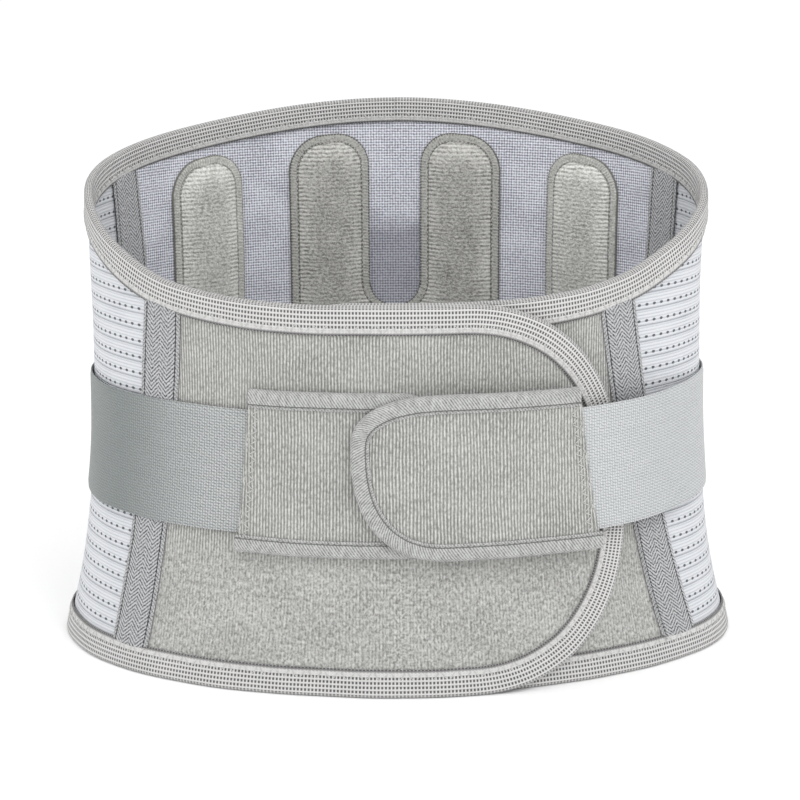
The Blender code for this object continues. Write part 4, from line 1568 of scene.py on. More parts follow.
@dataclass
class Wings:
    """Both front panels with their rounded ends, hook patch, elastics, tapes and bindings."""

    inset: float = 0.0019
    outer_start: float = 0.030
    outer_reach: float = 0.113
    inner_start: float = -0.020
    inner_reach: float = -0.094
    roundness: float = 2.15
    hook_margin: float = 0.004
    hook_lead: float = 0.010
    deepen_over: float = 0.040
    stitch: float = 0.0036
    stitch_cover: float = 0.72
    stitch_band: Pair = (0.0012, 0.0052)
    short: float = 0.0014
    panel_share: float = 0.92
    outer_length: float = 0.243
    inner_length: float = 0.228
    elastic_cut: Pair = (0.235, 0.155)
    elastic_share: float = 0.9
    tape_length: float = 0.172
    binding_cut: float = 0.031
    hook_cut: Pair = (0.151, 0.075)

    def end(self, start: float, reach: float) -> RoundEnd:
        """The rounded end of a wing."""
        high = float(RING.top_edge(start))
        return RoundEnd(start, reach, 0.0, high, high / 2, self.roundness)

    def panel(self, side: int) -> Grid:
        """Grid of a front panel.

        Args:
            side: -1 for the outer panel, sewn to the left, and +1 for the inner one.

        Returns:
            The grid.
        """
        seam = partial(SEAMS.front, side=side)
        low, high = constant(self.inset), below_top(self.inset)
        if side < 0:
            begin = constant(self.outer_start)
            straight = band(seam, begin, low, high, 70, 60)
            rounded = self.end(self.outer_start, self.outer_reach).inset(self.inset)
            return joined(straight, rounded.grid(36, 60))
        begin = constant(self.inner_start)
        straight = band(begin, seam, low, high, 66, 60)
        rounded = self.end(self.inner_start, self.inner_reach).inset(self.inset)
        return joined(rounded.grid(30, 60), straight)

    def build(self) -> None:
        """Builds both wings."""
        for body, panel, length, level in (
            (Body.LEFT_WING, "outer", self.outer_length, flat),
            (Body.RIGHT_WING, "inner", self.inner_length, right_wing),
        ):
            grid = self.panel(body.side)
            up = level(grid[0])
            made = slab(grid, up, up - LAYERS.panel).make(f"{panel}_front_panel", LOOP)
            nodes, size = [f"front_panel_{panel}"], (RING.front_height, length)
            dress(made, Slot.LOOP, nodes, size, Held.STRETCHED, (), self.panel_share)
            attach(made, body)
            self.elastic(level, body)
            self.tapes(level, body)
            self.binding(level, body)
        self.hooks()

    def elastic(self, level: Level, body: Body) -> None:
        """Side elastic, one stretch of cloth from the back seam to the front seam.

        Args:
            level: Level of the wing's cloth.
            body: The wing's body.
        """
        side, word = body.side, body.word
        front, rear = partial(SEAMS.front, side=side), partial(SEAMS.rear, side=side)
        left, right = (rear, front) if side < 0 else (front, rear)
        low, high = constant(self.inset), below_top(self.inset)
        grid = band(left, right, low, high, 70, 70)
        up = level(grid[0]) - LAYERS.recess
        name = f"{word}_side_elastic"
        made = slab(grid, up, up - LAYERS.elastic).make(name, ELASTIC)
        nodes = [f"side_elastic_{word}_front", f"side_elastic_{word}_rear"]
        dress(made, Slot.ELASTIC, nodes, self.elastic_cut, Held.STRETCHED, (), self.elastic_share)
        bend_round(made, body)

    def tapes(self, level: Level, body: Body) -> None:
        """Seam tapes over the front seam, outside and inside, with their overlocked edges.

        Args:
            level: Level of the wing's cloth.
            body: The wing's body.
        """
        side, word = body.side, body.word
        for where, base, thick in (
            ("outer", LAYERS.gap, LAYERS.tape),
            ("inner", LAYERS.under_panel, -LAYERS.tape),
        ):
            name, node = f"{word}_front_tape_{where}", f"front_seam_tape_{word}_{where}"
            seam = partial(SEAMS.front, side=side)
            made, threads = SeamTape().make(name, seam, level, base, thick)
            under = (f"{word}_side_elastic", f"{'outer' if side < 0 else 'inner'}_front_panel")
            dress(made, Slot.TAPE, [node], (SEAMS.tape, self.tape_length), Held.LAID, under)
            attach(made, body)
            attach(threads, body)

    def binding(self, level: Level, body: Body) -> None:
        """Edge binding from the back middle round the wing and back, with its stitching.

        Args:
            level: Level of the wing's cloth.
            body: The wing's body.
        """
        side, word = body.side, body.word
        outer, inner = (self.outer_start, self.outer_reach), (self.inner_start, self.inner_reach)
        start, reach = outer if side < 0 else inner
        runs = np.linspace(side * RING.half, start, 300)
        top = [(r, float(RING.top_edge(r))) for r in runs[:-1]]
        line = top + self.end(start, reach).outline(60)
        line += [(r, 0.0) for r in runs[::-1][1:]]
        if side > 0:
            line = line[::-1]
        route = Route(np.array(line))
        over = raised(level, LAYERS.gap)
        deepen = LAYERS.back_inside - LAYERS.gap - LAYERS.under_panel

        def under(run: Array) -> Array:
            """Level of the inner arm, which is deeper at the thicker back."""
            back = ease(np.abs(run), RING.side, RING.side + self.deepen_over)
            return level(run) + LAYERS.under_panel + deepen * back

        tape = FoldedTape(SEAMS.binding, inner_share=0.9)
        made = tape.sweep(route, over, under).make(f"{word}_edge_binding", BINDING, 60)
        nodes = ["back_binding_top" if side < 0 else "back_binding_bottom", f"{word}_wing_binding"]
        dress(made, Slot.BINDING, nodes, (self.binding_cut, route.length), Held.FOLDED)
        bend_round(made, body)
        self.sew_binding(route, over, under, body)

    def sew_binding(self, route: Route, over: Level, under: Level, body: Body) -> None:
        """Slanted stitches through both arms of a wing's binding.

        Args:
            route: The binding's edge.
            over: Level under the outer arm.
            under: Level over the inner arm.
            body: The wing's body.
        """
        arms = (("outer", 1, over, 0.0), ("inner", -1, under, self.short))
        for where, face, level, back in arms:
            threads, level = Threads(), raised(level, face * LAYERS.tape)
            depths = tuple(SEAMS.binding - away - back for away in self.stitch_band)
            threads.along(route, depths, self.stitch, level, self.stitch_cover, 1.0)
            bend_round(threads.make(f"{body.word}_binding_stitches_{where}", face), body)

    def hooks(self) -> None:
        """Hook patch under the outer panel's free end."""
        margin = SEAMS.binding + self.hook_margin
        rounded = self.end(self.outer_start, self.outer_reach).inset(margin)
        low, high = constant(rounded.low), constant(rounded.high)
        lead, begin = constant(self.outer_start - self.hook_lead), constant(self.outer_start)
        straight = band(lead, begin, low, high, 4, 24)
        grid = joined(straight, rounded.grid(20, 24))
        top = np.full_like(grid[0], LAYERS.under_panel)
        made = slab(grid, top, top - LAYERS.hook).make("front_hook_patch", HOOK)
        nodes, under = ["front_panel_hook_patch"], ("outer_front_panel",)
        dress(made, Slot.HOOK, nodes, self.hook_cut, Held.LAID, under, 0.85)
        attach(made, Body.LEFT_WING)


@dataclass(frozen=True)
class SeamTape:
    """Tape over a seam, a little domed, with overlocked edges."""

    tuck: float = 0.0030
    dome: float = 0.00022
    stitch: float = 0.0017
    lean: float = 0.0008
    bite: float = 0.0019
    wrap: float = 0.0002

    def make(
        self,
        name: str,
        seam: Edge,
        level: Level,
        base: float,
        thick: float,
        finish: Finish = TAPE,
    ) -> tuple[Object, Object]:
        """Makes one tape with its stitches.

        Args:
            name: The tape's name.
            seam: Run of the seam at a height.
            level: Level of the cloth under it at a run.
            base: Level of the tape's near side above that.
            thick: Its thickness, negative towards the wearer.
            finish: Its look.

        Returns:
            The tape and its stitches.
        """
        half, margin = SEAMS.tape / 2, SEAMS.binding - self.tuck
        low, high = constant(margin), below_top(margin)
        grid = band(raised(seam, -half), raised(seam, half), low, high, 14, 70)
        near = level(grid[0]) + base
        share = np.linspace(-1, 1, len(near))[:, None]
        far = near + thick + math.copysign(self.dome, thick) * (1 - share**2)
        outer, inner = (far, near) if thick > 0 else (near, far)
        places = np.stack([share * half + 0 * grid[1], grid[1], 0 * grid[1]], -1)
        made = slab(grid, outer, inner, places, 0.0002).make(name, finish)
        threads = Threads(radius=0.00024, rise=0.0002)
        last = float(high(seam(np.array(0.2)))) - 0.002
        heights = np.arange(margin + 0.001, last, self.stitch)
        face, above = level(seam(heights)) + base + thick, heights + self.lean
        for edge in (-1, 1):
            start = seam(heights) + edge * (half - self.bite)
            end = seam(above) + edge * (half + self.wrap)
            threads.sew((start, heights, face), (end, above, face - thick * 0.5))
        return made, threads.make(f"{name}_stitches", 1 if thick > 0 else -1, TRIM_THREAD)


@dataclass
class BackPanel:
    """Back shell and lining with their seam tapes and the strap anchor."""

    inset: float = 0.0019
    anchor_half: float = 0.062
    anchor_low: float = 0.050
    anchor_high: float = 0.194
    anchor_stitch: float = 0.0028
    anchor_rows: Pair = (0.004, 0.0065)
    cut: Pair = (0.255, 0.318)
    tape_length: float = 0.219

    def build(self) -> None:
        """Builds the back."""
        low, high = constant(self.inset), below_top(self.inset)
        left = partial(SEAMS.rear, side=1)
        right = raised(partial(SEAMS.rear, side=-1), 2 * RING.half)
        grid = band(left, right, low, high, 90, 70)
        places = np.stack([grid[0] - RING.half, grid[1], 0 * grid[0]], -1)
        zero = 0 * grid[0]
        shell = slab(grid, zero, zero - LAYERS.shell, places).make("back_outer_cloth", SHELL)
        dress(shell, Slot.BACK, ["back_shell"], self.cut, Held.STRETCHED, (), 0.98)
        attach(shell, Body.BACK)
        lining = slab(grid, zero + LAYERS.lining_out, zero + LAYERS.back_inside, places)
        made = lining.make("back_mesh_lining", LINING)
        dress(made, Slot.LINING, ["back_lining"], self.cut, Held.STRETCHED, (), 0.98)
        attach(made, Body.BACK)
        self.tapes()
        self.anchor()

    def tapes(self) -> None:
        """Seam tapes over both back seams, outside and inside."""
        for side, word in ((-1, "left"), (1, "right")):
            for where, base, thick in (
                ("outer", LAYERS.gap, LAYERS.tape),
                ("inner", LAYERS.back_inside - LAYERS.gap, -LAYERS.tape),
            ):
                name, node = f"{word}_back_tape_{where}", f"back_seam_tape_{word}_{where}"
                seam = partial(SEAMS.rear, side=side)
                made, threads = SeamTape().make(name, seam, flat, base, thick, BACK_TAPE)
                cloth = "back_outer_cloth" if where == "outer" else "back_mesh_lining"
                under, size = (cloth, f"{word}_side_elastic"), (SEAMS.tape, self.tape_length)
                dress(made, Slot.TAPE, [node], size, Held.LAID, under)
                attach(made, Body.BACK)
                attach(threads, Body.BACK)

    def anchor(self) -> None:
        """Panel on the outside of the back that both straps are sewn under."""
        mid, half = RING.half, self.anchor_half
        grid = band(
            constant(mid - half), constant(mid + half),
            constant(self.anchor_low), constant(self.anchor_high), 40, 40,
        )
        base = LAYERS.webbing_out + LAYERS.webbing + LAYERS.gap
        places = np.stack([grid[0] - mid, grid[1], 0 * grid[0]], -1)
        top = np.full_like(grid[0], base + LAYERS.velour)
        made = slab(grid, top, top - LAYERS.velour, places, 0.0004).make("strap_anchor", SHELL)
        size = (self.anchor_high - self.anchor_low, 2 * half)
        dress(made, Slot.BACK, ["strap_anchor_panel"], size, Held.LAID, ("back_outer_cloth",))
        attach(made, Body.BACK)
        threads = Threads(rise=0.0002)
        level = constant(base + LAYERS.velour)
        low, high = self.anchor_low, self.anchor_high
        corners = [(mid - half, low), (mid - half, high), (mid + half, high), (mid + half, low)]
        for k, corner in enumerate(corners):
            route = Route(np.array([corner, corners[(k + 1) % 4]]))
            for depth in self.anchor_rows:
                threads.along(route, (depth, depth), self.anchor_stitch, level, 0.75)
        attach(threads.make("anchor_stitches"), Body.BACK)


# ---- Pads and stays ----


@dataclass
class Pads:
    """Padded stay pockets: two side pads, the centre pad with two legs, foam and stays."""

    margin: float = 0.0065
    top_margin: float = 0.0036
    corner: float = 0.018
    leg_inner: float = 0.0140
    leg_outer: float = 0.0580
    side_inner: float = 0.0850
    side_outer: float = 0.1285
    bridge_low: float = 0.112
    bridge_high: float = 0.146
    rim_width: float = 0.0044
    rim_height: float = 0.0014
    rim_step: float = 0.0006
    pucker: float = 0.00022
    overlock: float = 0.0016
    stitch: float = 0.0024
    side_height: float = 0.0052
    centre_height: float = 0.0062
    foam_inset: float = 0.0110
    foam_level: float = -0.0050
    foam_thickness: float = 0.0016
    stiffness: float = 30
    pressure: float = 4.0
    frames: int = 20
    reach: float = 0.0028
    side_fill: float = 0.35
    centre_fill: float = 0.45
    foam_fill: float = 0.8

    @property
    def base(self) -> float:
        """Level of the pads' flat side, against the lining."""
        return LAYERS.back_inside - LAYERS.gap

    def high(self, away: Array) -> Array:
        """Height of the pads' upper limit at a distance from the back middle."""
        return RING.top_edge(RING.half - np.abs(away)) - SEAMS.binding - self.top_margin

    @property
    def low(self) -> float:
        """Height of the pads' lower limit."""
        return SEAMS.binding + self.margin

    def leg(self, inner: float, outer: float, inset: float, bridged: bool) -> Grid:
        """Grid of one leg in distance from the back middle and height.

        Args:
            inner: Distance of the leg's inner side from the back middle.
            outer: Distance of its outer side.
            inset: How much smaller than the pad it is all round.
            bridged: Whether rows fall on the bridge's upper and lower corners.

        Returns:
            The distances and the heights.
        """
        span = outer - inner - 2 * inset
        share = (1 - np.cos(np.linspace(0, math.pi, 25))) / 2
        away = (inner + inset + span * share)[:, None]
        radius = self.corner - inset
        side = np.minimum(away - inner, outer - away) - inset
        pull = radius - np.sqrt(np.clip(radius**2 - np.clip(radius - side, 0, None) ** 2, 0, None))
        top, bottom = self.high(away) - inset - pull, self.low + inset + pull
        if not bridged:
            t = (1 - np.cos(np.linspace(0, math.pi, 91)))[None, :] / 2
            t = t * 0.5 + np.linspace(0, 1, 91)[None, :] * 0.5
            return away + 0 * t, bottom + (top - bottom) * t
        marks = (self.bridge_low - self.leg_inner, self.bridge_high + self.leg_inner)
        t = np.linspace(0, 1, 31)[None, :] ** 1.4
        lower = bottom + (marks[0] - bottom) * t
        middle = np.linspace(marks[0], marks[1], 25)[None, 1:-1] + 0 * away
        upper = top + (marks[1] - top) * t[:, ::-1]
        z = np.concatenate([lower, middle, upper], 1)
        return away + 0 * z, z

    def bridge(self) -> Grid:
        """Grid of the bridge between the legs, with a round notch above it and below it.

        Returns:
            Distances from the back middle and heights.
        """
        x = np.linspace(-1, 1, 21)[:, None] * self.leg_inner
        dip = np.sqrt(np.clip(self.leg_inner**2 - x**2, 0, None))
        low = self.bridge_low - self.leg_inner + dip
        high = self.bridge_high + self.leg_inner - dip
        z = low + (high - low) * np.linspace(0, 1, 25)[None, :]
        return x + 0 * z, z

    def depth(self, away: Array, z: Array, inner: float, outer: float) -> Array:
        """Distance of points from the outline of a leg.

        Args:
            away: Distances from the back middle.
            z: Heights.
            inner: Distance of the leg's inner side from the back middle.
            outer: Distance of its outer side.

        Returns:
            The distances, positive inside.
        """
        far = np.abs(away)
        side = np.minimum(far - inner, outer - far)
        end = np.minimum(self.high(far) - z, z - self.low)
        near = (side < self.corner) & (end < self.corner)
        rounded = self.corner - np.hypot(self.corner - side, self.corner - end)
        return np.where(near, rounded, np.minimum(side, end))

    def centre_depth(self, away: Array, z: Array) -> Array:
        """Distance of points from the centre pad's outline.

        Args:
            away: Distances from the back middle.
            z: Heights.

        Returns:
            The distances, positive inside.
        """
        between = (z > self.bridge_low - self.leg_inner) & (z < self.bridge_high + self.leg_inner)
        leg = self.depth(away, z, self.leg_inner, self.leg_outer)
        open_side = self.depth(away, z, -1.0, self.leg_outer)
        notch = np.minimum(
            np.hypot(away, z - self.bridge_high - self.leg_inner),
            np.hypot(away, z - self.bridge_low + self.leg_inner),
        )
        return np.where(between, np.minimum(open_side, notch - self.leg_inner), leg)

    def cover(
        self, name: str, grids: Sequence[Grid], depth: Callable, height: float, finish: Finish
    ) -> Object:
        """Closed pad: a flat side on the lining and a swollen side with a puckered rim.

        Args:
            name: The pad's name.
            grids: Grids of distances from the back middle and heights, from left to right.
            depth: Gives the distance of points from the outline.
            height: Height of the pad's middle before it is filled.
            finish: Its look.

        Returns:
            The pad.
        """
        places, index, quads = [], {}, []
        for away, z in grids:
            keys = np.round(np.stack([away, z], -1), 6)
            numbers = np.zeros(away.shape, int)
            for i, j in np.ndindex(away.shape):
                key = tuple(keys[i, j])
                if key not in index:
                    index[key] = len(places)
                    places.append((away[i, j], z[i, j]))
                numbers[i, j] = index[key]
            quads.append(cells(numbers))
        quads = np.concatenate(quads)
        away, z = np.array(places).T
        deep = np.clip(depth(away, z), 0, None)
        pucker = np.sin((away * 1.7 + z) * 1250) * 0.5 + np.sin((z - away * 1.3) * 890 + 1) * 0.5
        near = ease(deep, self.rim_width * 0.8, self.rim_width * 1.3)
        dome = ease(deep, self.rim_width * 0.6, self.rim_width * 3.2)
        fade = ease(deep, 0.016, self.rim_width)
        high = self.rim_height * (0.45 + 0.55 * ease(deep, 0, 0.0012))
        high = high + near * self.rim_step + (height - self.rim_height - self.rim_step) * dome
        high += pucker * self.pucker * near * fade
        run = RING.half + away
        points = np.concatenate(
            [RING.point(run, z, self.base - high), RING.point(run, z, self.base + 0 * z)]
        )
        count = len(away)
        pairs = np.concatenate([quads[:, [k, (k + 1) % 4]] for k in range(4)])
        known = {(a, b) for a, b in pairs.tolist()}
        rim = np.array([p for p in pairs.tolist() if (p[1], p[0]) not in known])
        walls = np.stack([rim[:, 0] + count, rim[:, 1] + count, rim[:, 1], rim[:, 0]], -1)
        flat_places = np.stack([away, z, deep], -1)
        made = Piece()
        sides = [quads[:, ::-1], quads + count, walls[:, ::-1]]
        made.add(points, np.concatenate([flat_places, flat_places]), sides)
        pad = made.make(name, finish)
        free = np.concatenate([ease(deep, self.rim_width * 1.05, self.rim_width * 2), 0 * deep])
        self.fill(pad, free)
        return pad

    def fill(self, pad: Object, free: Array) -> None:
        """Fills a pad by pressure as cloth held at its rim and its flat side.

        Args:
            pad: The pad.
            free: How free each point is, from 0 for sewn down to 1.
        """
        group = pad.vertex_groups.new(name="sewn")
        for k, share in enumerate(free.tolist()):
            group.add([k], 1 - share, "REPLACE")
        cloth = pad.modifiers.new("fill", "CLOTH")
        cloth.settings.quality = 6
        cloth.settings.mass = 0.2
        cloth.settings.tension_stiffness = self.stiffness
        cloth.settings.compression_stiffness = self.stiffness
        cloth.settings.bending_stiffness = 1.5
        cloth.settings.use_pressure = True
        cloth.settings.uniform_pressure_force = self.pressure
        cloth.settings.vertex_group_mass = "sewn"
        cloth.settings.effector_weights.gravity = 0.0
        cloth.point_cache.frame_start = 1
        cloth.point_cache.frame_end = self.frames
        start = np.empty(len(pad.data.vertices) * 3)
        pad.data.vertices.foreach_get("co", start)
        for frame_number in range(1, self.frames + 1):
            bpy.context.scene.frame_set(frame_number)
        shaped = pad.evaluated_get(bpy.context.evaluated_depsgraph_get())
        end = np.empty_like(start)
        shaped.data.vertices.foreach_get("co", end)
        pad.modifiers.clear()
        pad.vertex_groups.clear()
        bpy.context.scene.frame_set(1)
        move = (end - start).reshape(-1, 3)
        size = np.linalg.norm(move, axis=1, keepdims=True)
        move *= free[:, None] * np.minimum(1, self.reach / np.maximum(size, 1e-9))
        pad.data.vertices.foreach_set("co", start + move.ravel())
        pad.data.update()
        LOG.info("%s: filled, moved up to %.2f mm", pad.name, 1000 * float(size.max()))

    def outline(self, inner: float, outer: float) -> Array:
        """Outline of one leg, clockwise as seen from outside.

        Args:
            inner: Distance of its inner side from the back middle.
            outer: Distance of its outer side.

        Returns:
            Distances from the back middle and heights.
        """
        arc = np.linspace(0, math.pi / 2, 13)
        r = self.corner
        side = np.linspace(self.low + r, float(self.high(inner)) - r, 30)
        line = [(inner, z) for z in side]
        top = [(inner + r * (1 - math.cos(a)), r * (1 - math.sin(a))) for a in arc]
        line += [(x, float(self.high(x)) - d) for x, d in top]
        top = [(outer - r * (1 - math.sin(a)), r * (1 - math.cos(a))) for a in arc]
        line += [(x, float(self.high(x)) - d) for x, d in top]
        line += [(outer, z) for z in np.linspace(line[-1][1], side[0], 30)]
        line += [(outer - r * (1 - math.cos(a)), self.low + r * (1 - math.sin(a))) for a in arc]
        line += [(inner + r * (1 - math.sin(a)), self.low + r * (1 - math.cos(a))) for a in arc]
        return np.array(line + line[:1])

    def sew(self, name: str, routes: Sequence[Route]) -> None:
        """Overlock stitches round a pad's rim and a row of stitches inside it.

        Args:
            name: Name of the stitches.
            routes: The rim's edges.
        """
        threads = Threads(radius=0.00026, rise=0.0004)
        level = constant(self.base - self.rim_height)
        for route in routes:
            threads.along(route, (0.0, self.rim_width - 0.0006), self.overlock, level, 0.35)
            deep = self.rim_width - 0.0002
            threads.along(route, (deep, deep), self.stitch, level, 0.75)
        attach(threads.make(name, -1, PAD_THREAD), Body.BACK)

    def build(self) -> None:
        """Builds the pads, their stitching and the foam, and finishes the stays."""
        for side, word in ((1, "left"), (-1, "right")):
            away, z = self.leg(self.side_inner, self.side_outer, 0.0, False)
            grid = (away, z) if side > 0 else (-away[::-1], z[::-1])
            inner, outer = self.side_inner, self.side_outer
            depth = partial(self.depth, inner=inner, outer=outer)
            pad = self.cover(f"{word}_side_pad", [grid], depth, self.side_height, VELOUR)
            self.stuff(pad, f"side_pad_{word}", Slot.PAD, self.side_fill)
            self.sew(f"{word}_side_pad_stitches", [self.route(side, inner, outer)])
            self.foam(side, word)
        away, z = self.leg(self.leg_inner, self.leg_outer, 0.0, True)
        legs = [(-away[::-1], z[::-1]), self.bridge(), (away, z)]
        high = self.centre_height
        pad = self.cover("centre_pad_cover", legs, self.centre_depth, high, CENTRE_VELOUR)
        self.stuff(pad, "centre_pad", Slot.PAD, self.centre_fill)
        self.sew("centre_pad_stitches", self.centre_routes())
        self.stays()

    def stuff(self, made: Object, node: str, slot: Slot, fill: float) -> None:
        """Hides the plain solid that a padded piece stands for, and lets the piece ride on the
        back.

        Args:
            made: The piece.
            node: The plain solid that it stands for.
            slot: Its material slot; not used.
            fill: How firmly it is filled; not used.
        """
        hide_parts(node)
        attach(made, Body.BACK)

    def route(self, side: int, inner: float, outer: float) -> Route:
        """Edge of one leg.

        Args:
            side: -1 or +1, for the side of the back middle it is on.
            inner: Distance of its inner side from the back middle.
            outer: Distance of its outer side.

        Returns:
            The edge.
        """
        line = self.outline(inner, outer)
        if side < 0:
            line = (line * (-1, 1))[::-1]
        return Route(line + (RING.half, 0))

    def centre_routes(self) -> list[Route]:
        """Edge of the centre pad.

        Returns:
            Two halves that meet in the notches.
        """
        line = self.outline(self.leg_inner, self.leg_outer)
        low, high = self.bridge_low - self.leg_inner, self.bridge_high + self.leg_inner
        start = int(np.argmin(np.abs(line[:30, 1] - high)))
        stop = int(np.argmin(np.abs(line[:30, 1] - low)))
        outside = np.concatenate([line[start:-1], line[: stop + 1]])
        arc = np.linspace(math.pi / 2, 0, 12)
        notch = self.leg_inner * np.stack([np.cos(arc), np.sin(arc)], -1)
        upper = notch * (1, -1) + (0, high)
        lower = (notch + (0, low))[::-1]
        right = np.concatenate([upper, outside, lower])
        left = (right * (-1, 1))[::-1]
        return [Route(half + (RING.half, 0)) for half in (right, left)]

    def foam(self, side: int, word: str) -> None:
        """Foam strip inside one leg of the centre pad.

        Args:
            side: -1 or +1, for the side of the back middle it is on.
            word: left or right.
        """
        away, z = self.leg(self.leg_inner, self.leg_outer, self.foam_inset, False)
        away, z = (away, z) if side > 0 else (-away[::-1], z[::-1])
        top = np.full_like(z, self.foam_level)
        piece = slab((RING.half + away, z), top, top - self.foam_thickness)
        made = piece.make(f"{word}_foam_strip", Foam("pad foam"))
        self.stuff(made, f"centre_pad_foam_{word}", Slot.FOAM, self.foam_fill)

    def stays(self) -> None:
        """Finishes the four spring steel stays."""
        steel = SpringSteel("spring steel").material()
        for place in ("inner", "outer"):
            for word in ("left", "right"):
                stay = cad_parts[f"stay_{place}_{word}"]
                stay.data.materials.clear()
                stay.data.materials.append(steel)
                note(stay, "finished")


# ---- Compression straps ----


@dataclass
class Straps:
    """Two webbing straps with their wide ends, bindings and hook patches."""

    low: float = 0.0770
    high: float = 0.1366
    end_low: float = 0.0680
    end_high: float = 0.1470
    middle: float = 0.1075
    tip_rise: float = 0.0145
    roundness: float = 2.4
    binding: float = 0.0085
    hook_margin: float = 0.0034
    tuck: float = 0.016
    anchor: float = 0.062
    left_edge: Pair = (-0.0695, -0.0755)
    left_end: Pair = (0.0, 0.024)
    right_edge: Pair = (0.0830, 0.0925)
    right_end: Pair = (0.0225, -0.0215)
    inset: float = 0.0016
    lengths: Pair = (0.305, 0.295)
    end_lengths: Pair = (0.099, 0.110)
    binding_cut: float = 0.022
    stitch: float = 0.0026
    stitch_in: float = 0.0011
    join_stitch: float = 0.0027
    join_zigzag: float = 0.0024

    def edge(self, side: int) -> Edge:
        """Slanted edge of a wide end.

        Args:
            side: -1 for left and +1 for right.

        Returns:
            The edge, which gives a run at a height.
        """
        top, bottom = self.right_edge if side > 0 else self.left_edge
        height = self.end_high - self.end_low
        return lambda z: bottom + (top - bottom) * (z - self.end_low) / height

    def end(self, side: int) -> RoundEnd:
        """Rounded tip of a wide end.

        Args:
            side: -1 for left and +1 for right.

        Returns:
            The tip.
        """
        start, tip = self.right_end if side > 0 else self.left_end
        middle = self.middle + (self.tip_rise if side > 0 else 0.0)
        return RoundEnd(start, tip, self.end_low, self.end_high, middle, self.roundness)

    def wide_grid(self, side: int, inset: float, lead: float = 0.0) -> Grid:
        """Grid of a wide end.

        Args:
            side: -1 for left and +1 for right.
            inset: How much smaller it is along its round edge.
            lead: How much shorter it is at its slanted edge.

        Returns:
            The grid.
        """
        rounded = self.end(side).inset(inset)
        low, high = constant(rounded.low), constant(rounded.high)
        begin, slanted = constant(rounded.start), self.edge(side)
        moved = raised(slanted, -side * lead)
        if side < 0:
            return joined(band(moved, begin, low, high, 34, 36), rounded.grid(22, 36))
        return joined(rounded.grid(26, 36), band(begin, moved, low, high, 30, 36))

    def build(self) -> None:
        """Builds both straps."""
        for body, base, level, finish in (
            (Body.LEFT_STRAP, LAYERS.webbing_out, left_strap, LEFT_WEBBING),
            (Body.RIGHT_STRAP, LAYERS.right_hook_out, right_strap, RIGHT_WEBBING),
        ):
            self.webbing(level, finish, body)
            self.wide_end(base, body)

    def webbing(self, level: Level, finish: Finish, body: Body) -> None:
        """Webbing from the anchor on the back to the wide end.

        Args:
            level: Level of the webbing's inner side.
            finish: Its look.
            body: The strap's body.
        """
        side, word = body.side, body.word
        slanted = self.edge(side)
        front = raised(slanted, -side * self.tuck)
        rear = constant(side * (RING.half - self.anchor + self.tuck))
        left, right = (rear, front) if side < 0 else (front, rear)
        low, high = constant(self.low), constant(self.high)
        grid = band(left, right, low, high, 150, 24)
        under = level(grid[0])
        made = slab(grid, under + LAYERS.webbing, under, None, 0.00035)
        webbing = made.make(f"{word}_webbing", finish)
        nodes = [f"{word}_strap_front", f"{word}_strap_rear"]
        size = (self.high - self.low, self.lengths[side > 0])
        under = (f"{word}_side_elastic", "outer_front_panel")
        dress(webbing, Slot.WEBBING, nodes, size, Held.STRETCHED, under)
        bend_round(webbing, body)

    def wide_end(self, base: float, body: Body) -> None:
        """Wide end: its face, the hook patch under it, the binding and the stitching.

        Args:
            base: Level of the end's hook side.
            body: The strap's body.
        """
        side, word = body.side, body.word
        face = base + LAYERS.core + LAYERS.gap
        grid = self.wide_grid(side, self.inset)
        top = np.full_like(grid[0], face + LAYERS.velour)
        made = slab(grid, top, top - LAYERS.velour, None, 0.0004)
        made = made.make(f"{word}_wide_end", END_LOOP)
        length = self.end_lengths[side > 0]
        height = self.end_high - self.end_low
        under = ("outer_front_panel",) if side < 0 else ("left_wide_end",)
        dress(made, Slot.LOOP, [f"{word}_strap_end"], (height, length), Held.LAID, under, 0.93)
        attach(made, body)
        hook = self.wide_grid(side, self.hook_margin, self.tuck + 2 * LAYERS.gap)
        over = np.full_like(hook[0], base + LAYERS.hook)
        patch = slab(hook, over, over - LAYERS.hook).make(f"{word}_end_hooks", HOOK)
        size = (height - 2 * self.hook_margin, length - self.tuck - 0.004)
        dress(patch, Slot.HOOK, [f"{word}_strap_hook_patch"], size, Held.LAID, under, 0.92)
        attach(patch, body)
        self.trim(base, face + LAYERS.velour, body)

    def trim(self, base: float, face: float, body: Body) -> None:
        """Twill binding round a wide end and the stitches of its edges.

        Args:
            base: Level of the end's hook side.
            face: Level of the end's outer face.
            body: The strap's body.
        """
        side, word = body.side, body.word
        lean = self.edge(side)
        start = self.end(side).start
        top, low = (float(lean(np.array(z))) for z in (self.end_high, self.end_low))
        line = [(r, self.end_high) for r in np.linspace(top, start, 40)[:-1]]
        line += self.end(side).outline(40)
        line += [(r, self.end_low) for r in np.linspace(start, low, 40)[1:]]
        if side > 0:
            line = line[::-1]
        route = Route(np.array(line), 0.0018)
        over, under = constant(face + LAYERS.gap), constant(base - LAYERS.gap)
        tape = FoldedTape(self.binding, crown=0.00045)
        made = tape.sweep(route, over, under).make(f"{word}_end_binding", TWILL, 60)
        node = f"{word}_strap_end_binding"
        size = (self.binding_cut, route.length)
        dress(made, Slot.STRAP_BINDING, [node], size, Held.FOLDED)
        attach(made, body)
        threads = Threads(radius=0.0003, rise=0.0003)
        level = constant(face + LAYERS.gap + LAYERS.tape)
        deep = self.binding - self.stitch_in
        threads.along(route, (deep, deep), self.stitch, level, 0.78)
        slant = np.array([(float(lean(np.array(z))), z) for z in (self.end_low, self.end_high)])
        slant, surface = Route(slant if side < 0 else slant[::-1]), constant(face)
        attach(threads.make(f"{word}_end_stitches", 1, TRIM_THREAD), body)
        threads = Threads(radius=0.0003, rise=0.0003)
        threads.along(slant, (0.0014, 0.0014), self.join_stitch, surface, 0.75)
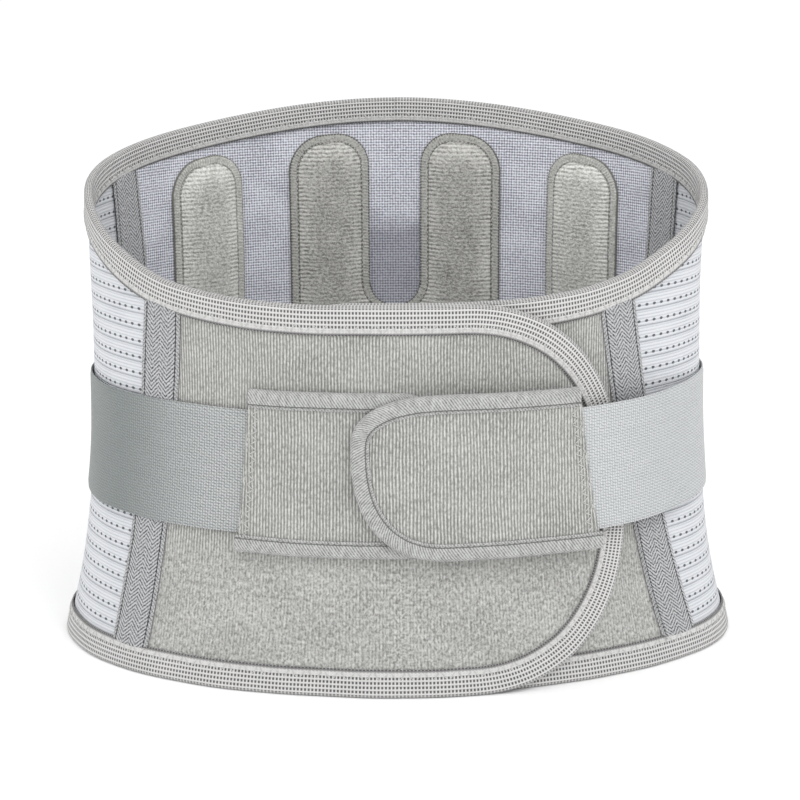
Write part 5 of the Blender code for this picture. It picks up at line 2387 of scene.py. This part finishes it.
        threads.along(slant, (0.0026, 0.0056), self.join_zigzag, surface, 0.9, 1.0)
        attach(threads.make(f"{word}_join_stitches", 1, THREAD), body)


# ---- Studio ----


@dataclass(frozen=True)
class StudioFloor(Finish):
    """Matte white paper floor."""

    white: Colour = (0.99, 0.99, 0.99)

    def draw(self, nodes: Nodes) -> Material:
        """Plain matte white."""
        return nodes.finish(Base_Color=self.white, Roughness=0.95, Specular_IOR_Level=0.0)


@dataclass
class Studio:
    """White floor, soft lights and the camera."""

    distance: float = 1.3
    elevation: float = 13.17
    yaw: float = 0.346
    roll: float = -0.25
    target: Triple = (0.0, 0.0019, 0.1175)
    lens: float = 115.4
    shift_x: float = 0.0040
    sky: float = 1.03
    floor_half: float = 6.0

    def build(self) -> None:
        """Builds the studio."""
        self.floor()
        self.world()
        self.lamp("key", (0.7, -1.1, 1.3), size=1.0, power=9.0)
        self.lamp("fill", (-1.0, -0.7, 0.8), size=1.2, power=3.0)
        self.camera()
        bpy.context.scene.view_settings.view_transform = "Standard"

    def floor(self) -> None:
        """Wide floor under the belt."""
        half = self.floor_half
        corners = [(-half, -half, 0), (half, -half, 0), (half, half, 0), (-half, half, 0)]
        mesh = bpy.data.meshes.new("floor")
        mesh.from_pydata(corners, [], [(0, 1, 2, 3)])
        mesh.materials.append(StudioFloor("studio floor").material())
        made = bpy.data.objects.new("floor", mesh)
        bpy.context.scene.collection.objects.link(made)

    def world(self) -> None:
        """Even white light from all round."""
        world = bpy.data.worlds.new("studio")
        world.use_nodes = True
        back = world.node_tree.nodes["Background"]
        back.inputs["Color"].default_value = (1.0, 1.0, 1.0, 1.0)
        back.inputs["Strength"].default_value = self.sky
        bpy.context.scene.world = world

    def lamp(self, name: str, place: Triple, size: float, power: float) -> None:
        """Soft square light aimed at the belt.

        Args:
            name: The light's name.
            place: Where it stands.
            size: Its width.
            power: Its power in watts.
        """
        light = bpy.data.lights.new(name, "AREA")
        light.energy = power
        light.size = size
        made = bpy.data.objects.new(name, light)
        made.location = place
        aim = Vector(self.target) - made.location
        made.rotation_euler = aim.to_track_quat("-Z", "Y").to_euler()
        bpy.context.scene.collection.objects.link(made)

    def camera(self) -> None:
        """Camera in front of the belt, a little above it."""
        data = bpy.data.cameras.new("camera")
        data.lens = self.lens
        data.shift_x = self.shift_x
        made = bpy.data.objects.new("camera", data)
        yaw, lift = math.radians(self.yaw), math.radians(self.elevation)
        level = math.cos(lift)
        ahead = Vector((-math.sin(yaw) * level, -math.cos(yaw) * level, math.sin(lift)))
        place = Vector(self.target) + ahead * self.distance
        turn = (-ahead).to_track_quat("-Z", "Y").to_matrix().to_4x4()
        spin = Matrix.Rotation(math.radians(self.roll), 4, "Z")
        made.matrix_world = Matrix.Translation(place) @ turn @ spin
        bpy.context.scene.collection.objects.link(made)
        bpy.context.scene.camera = made


def main() -> None:
    """Builds the belt and the studio."""
    logging.basicConfig(level=logging.INFO, format="%(message)s")
    Wings().build()
    BackPanel().build()
    Pads().build()
    Straps().build()
    Studio().build()


if __name__ == "__main__":
    main()
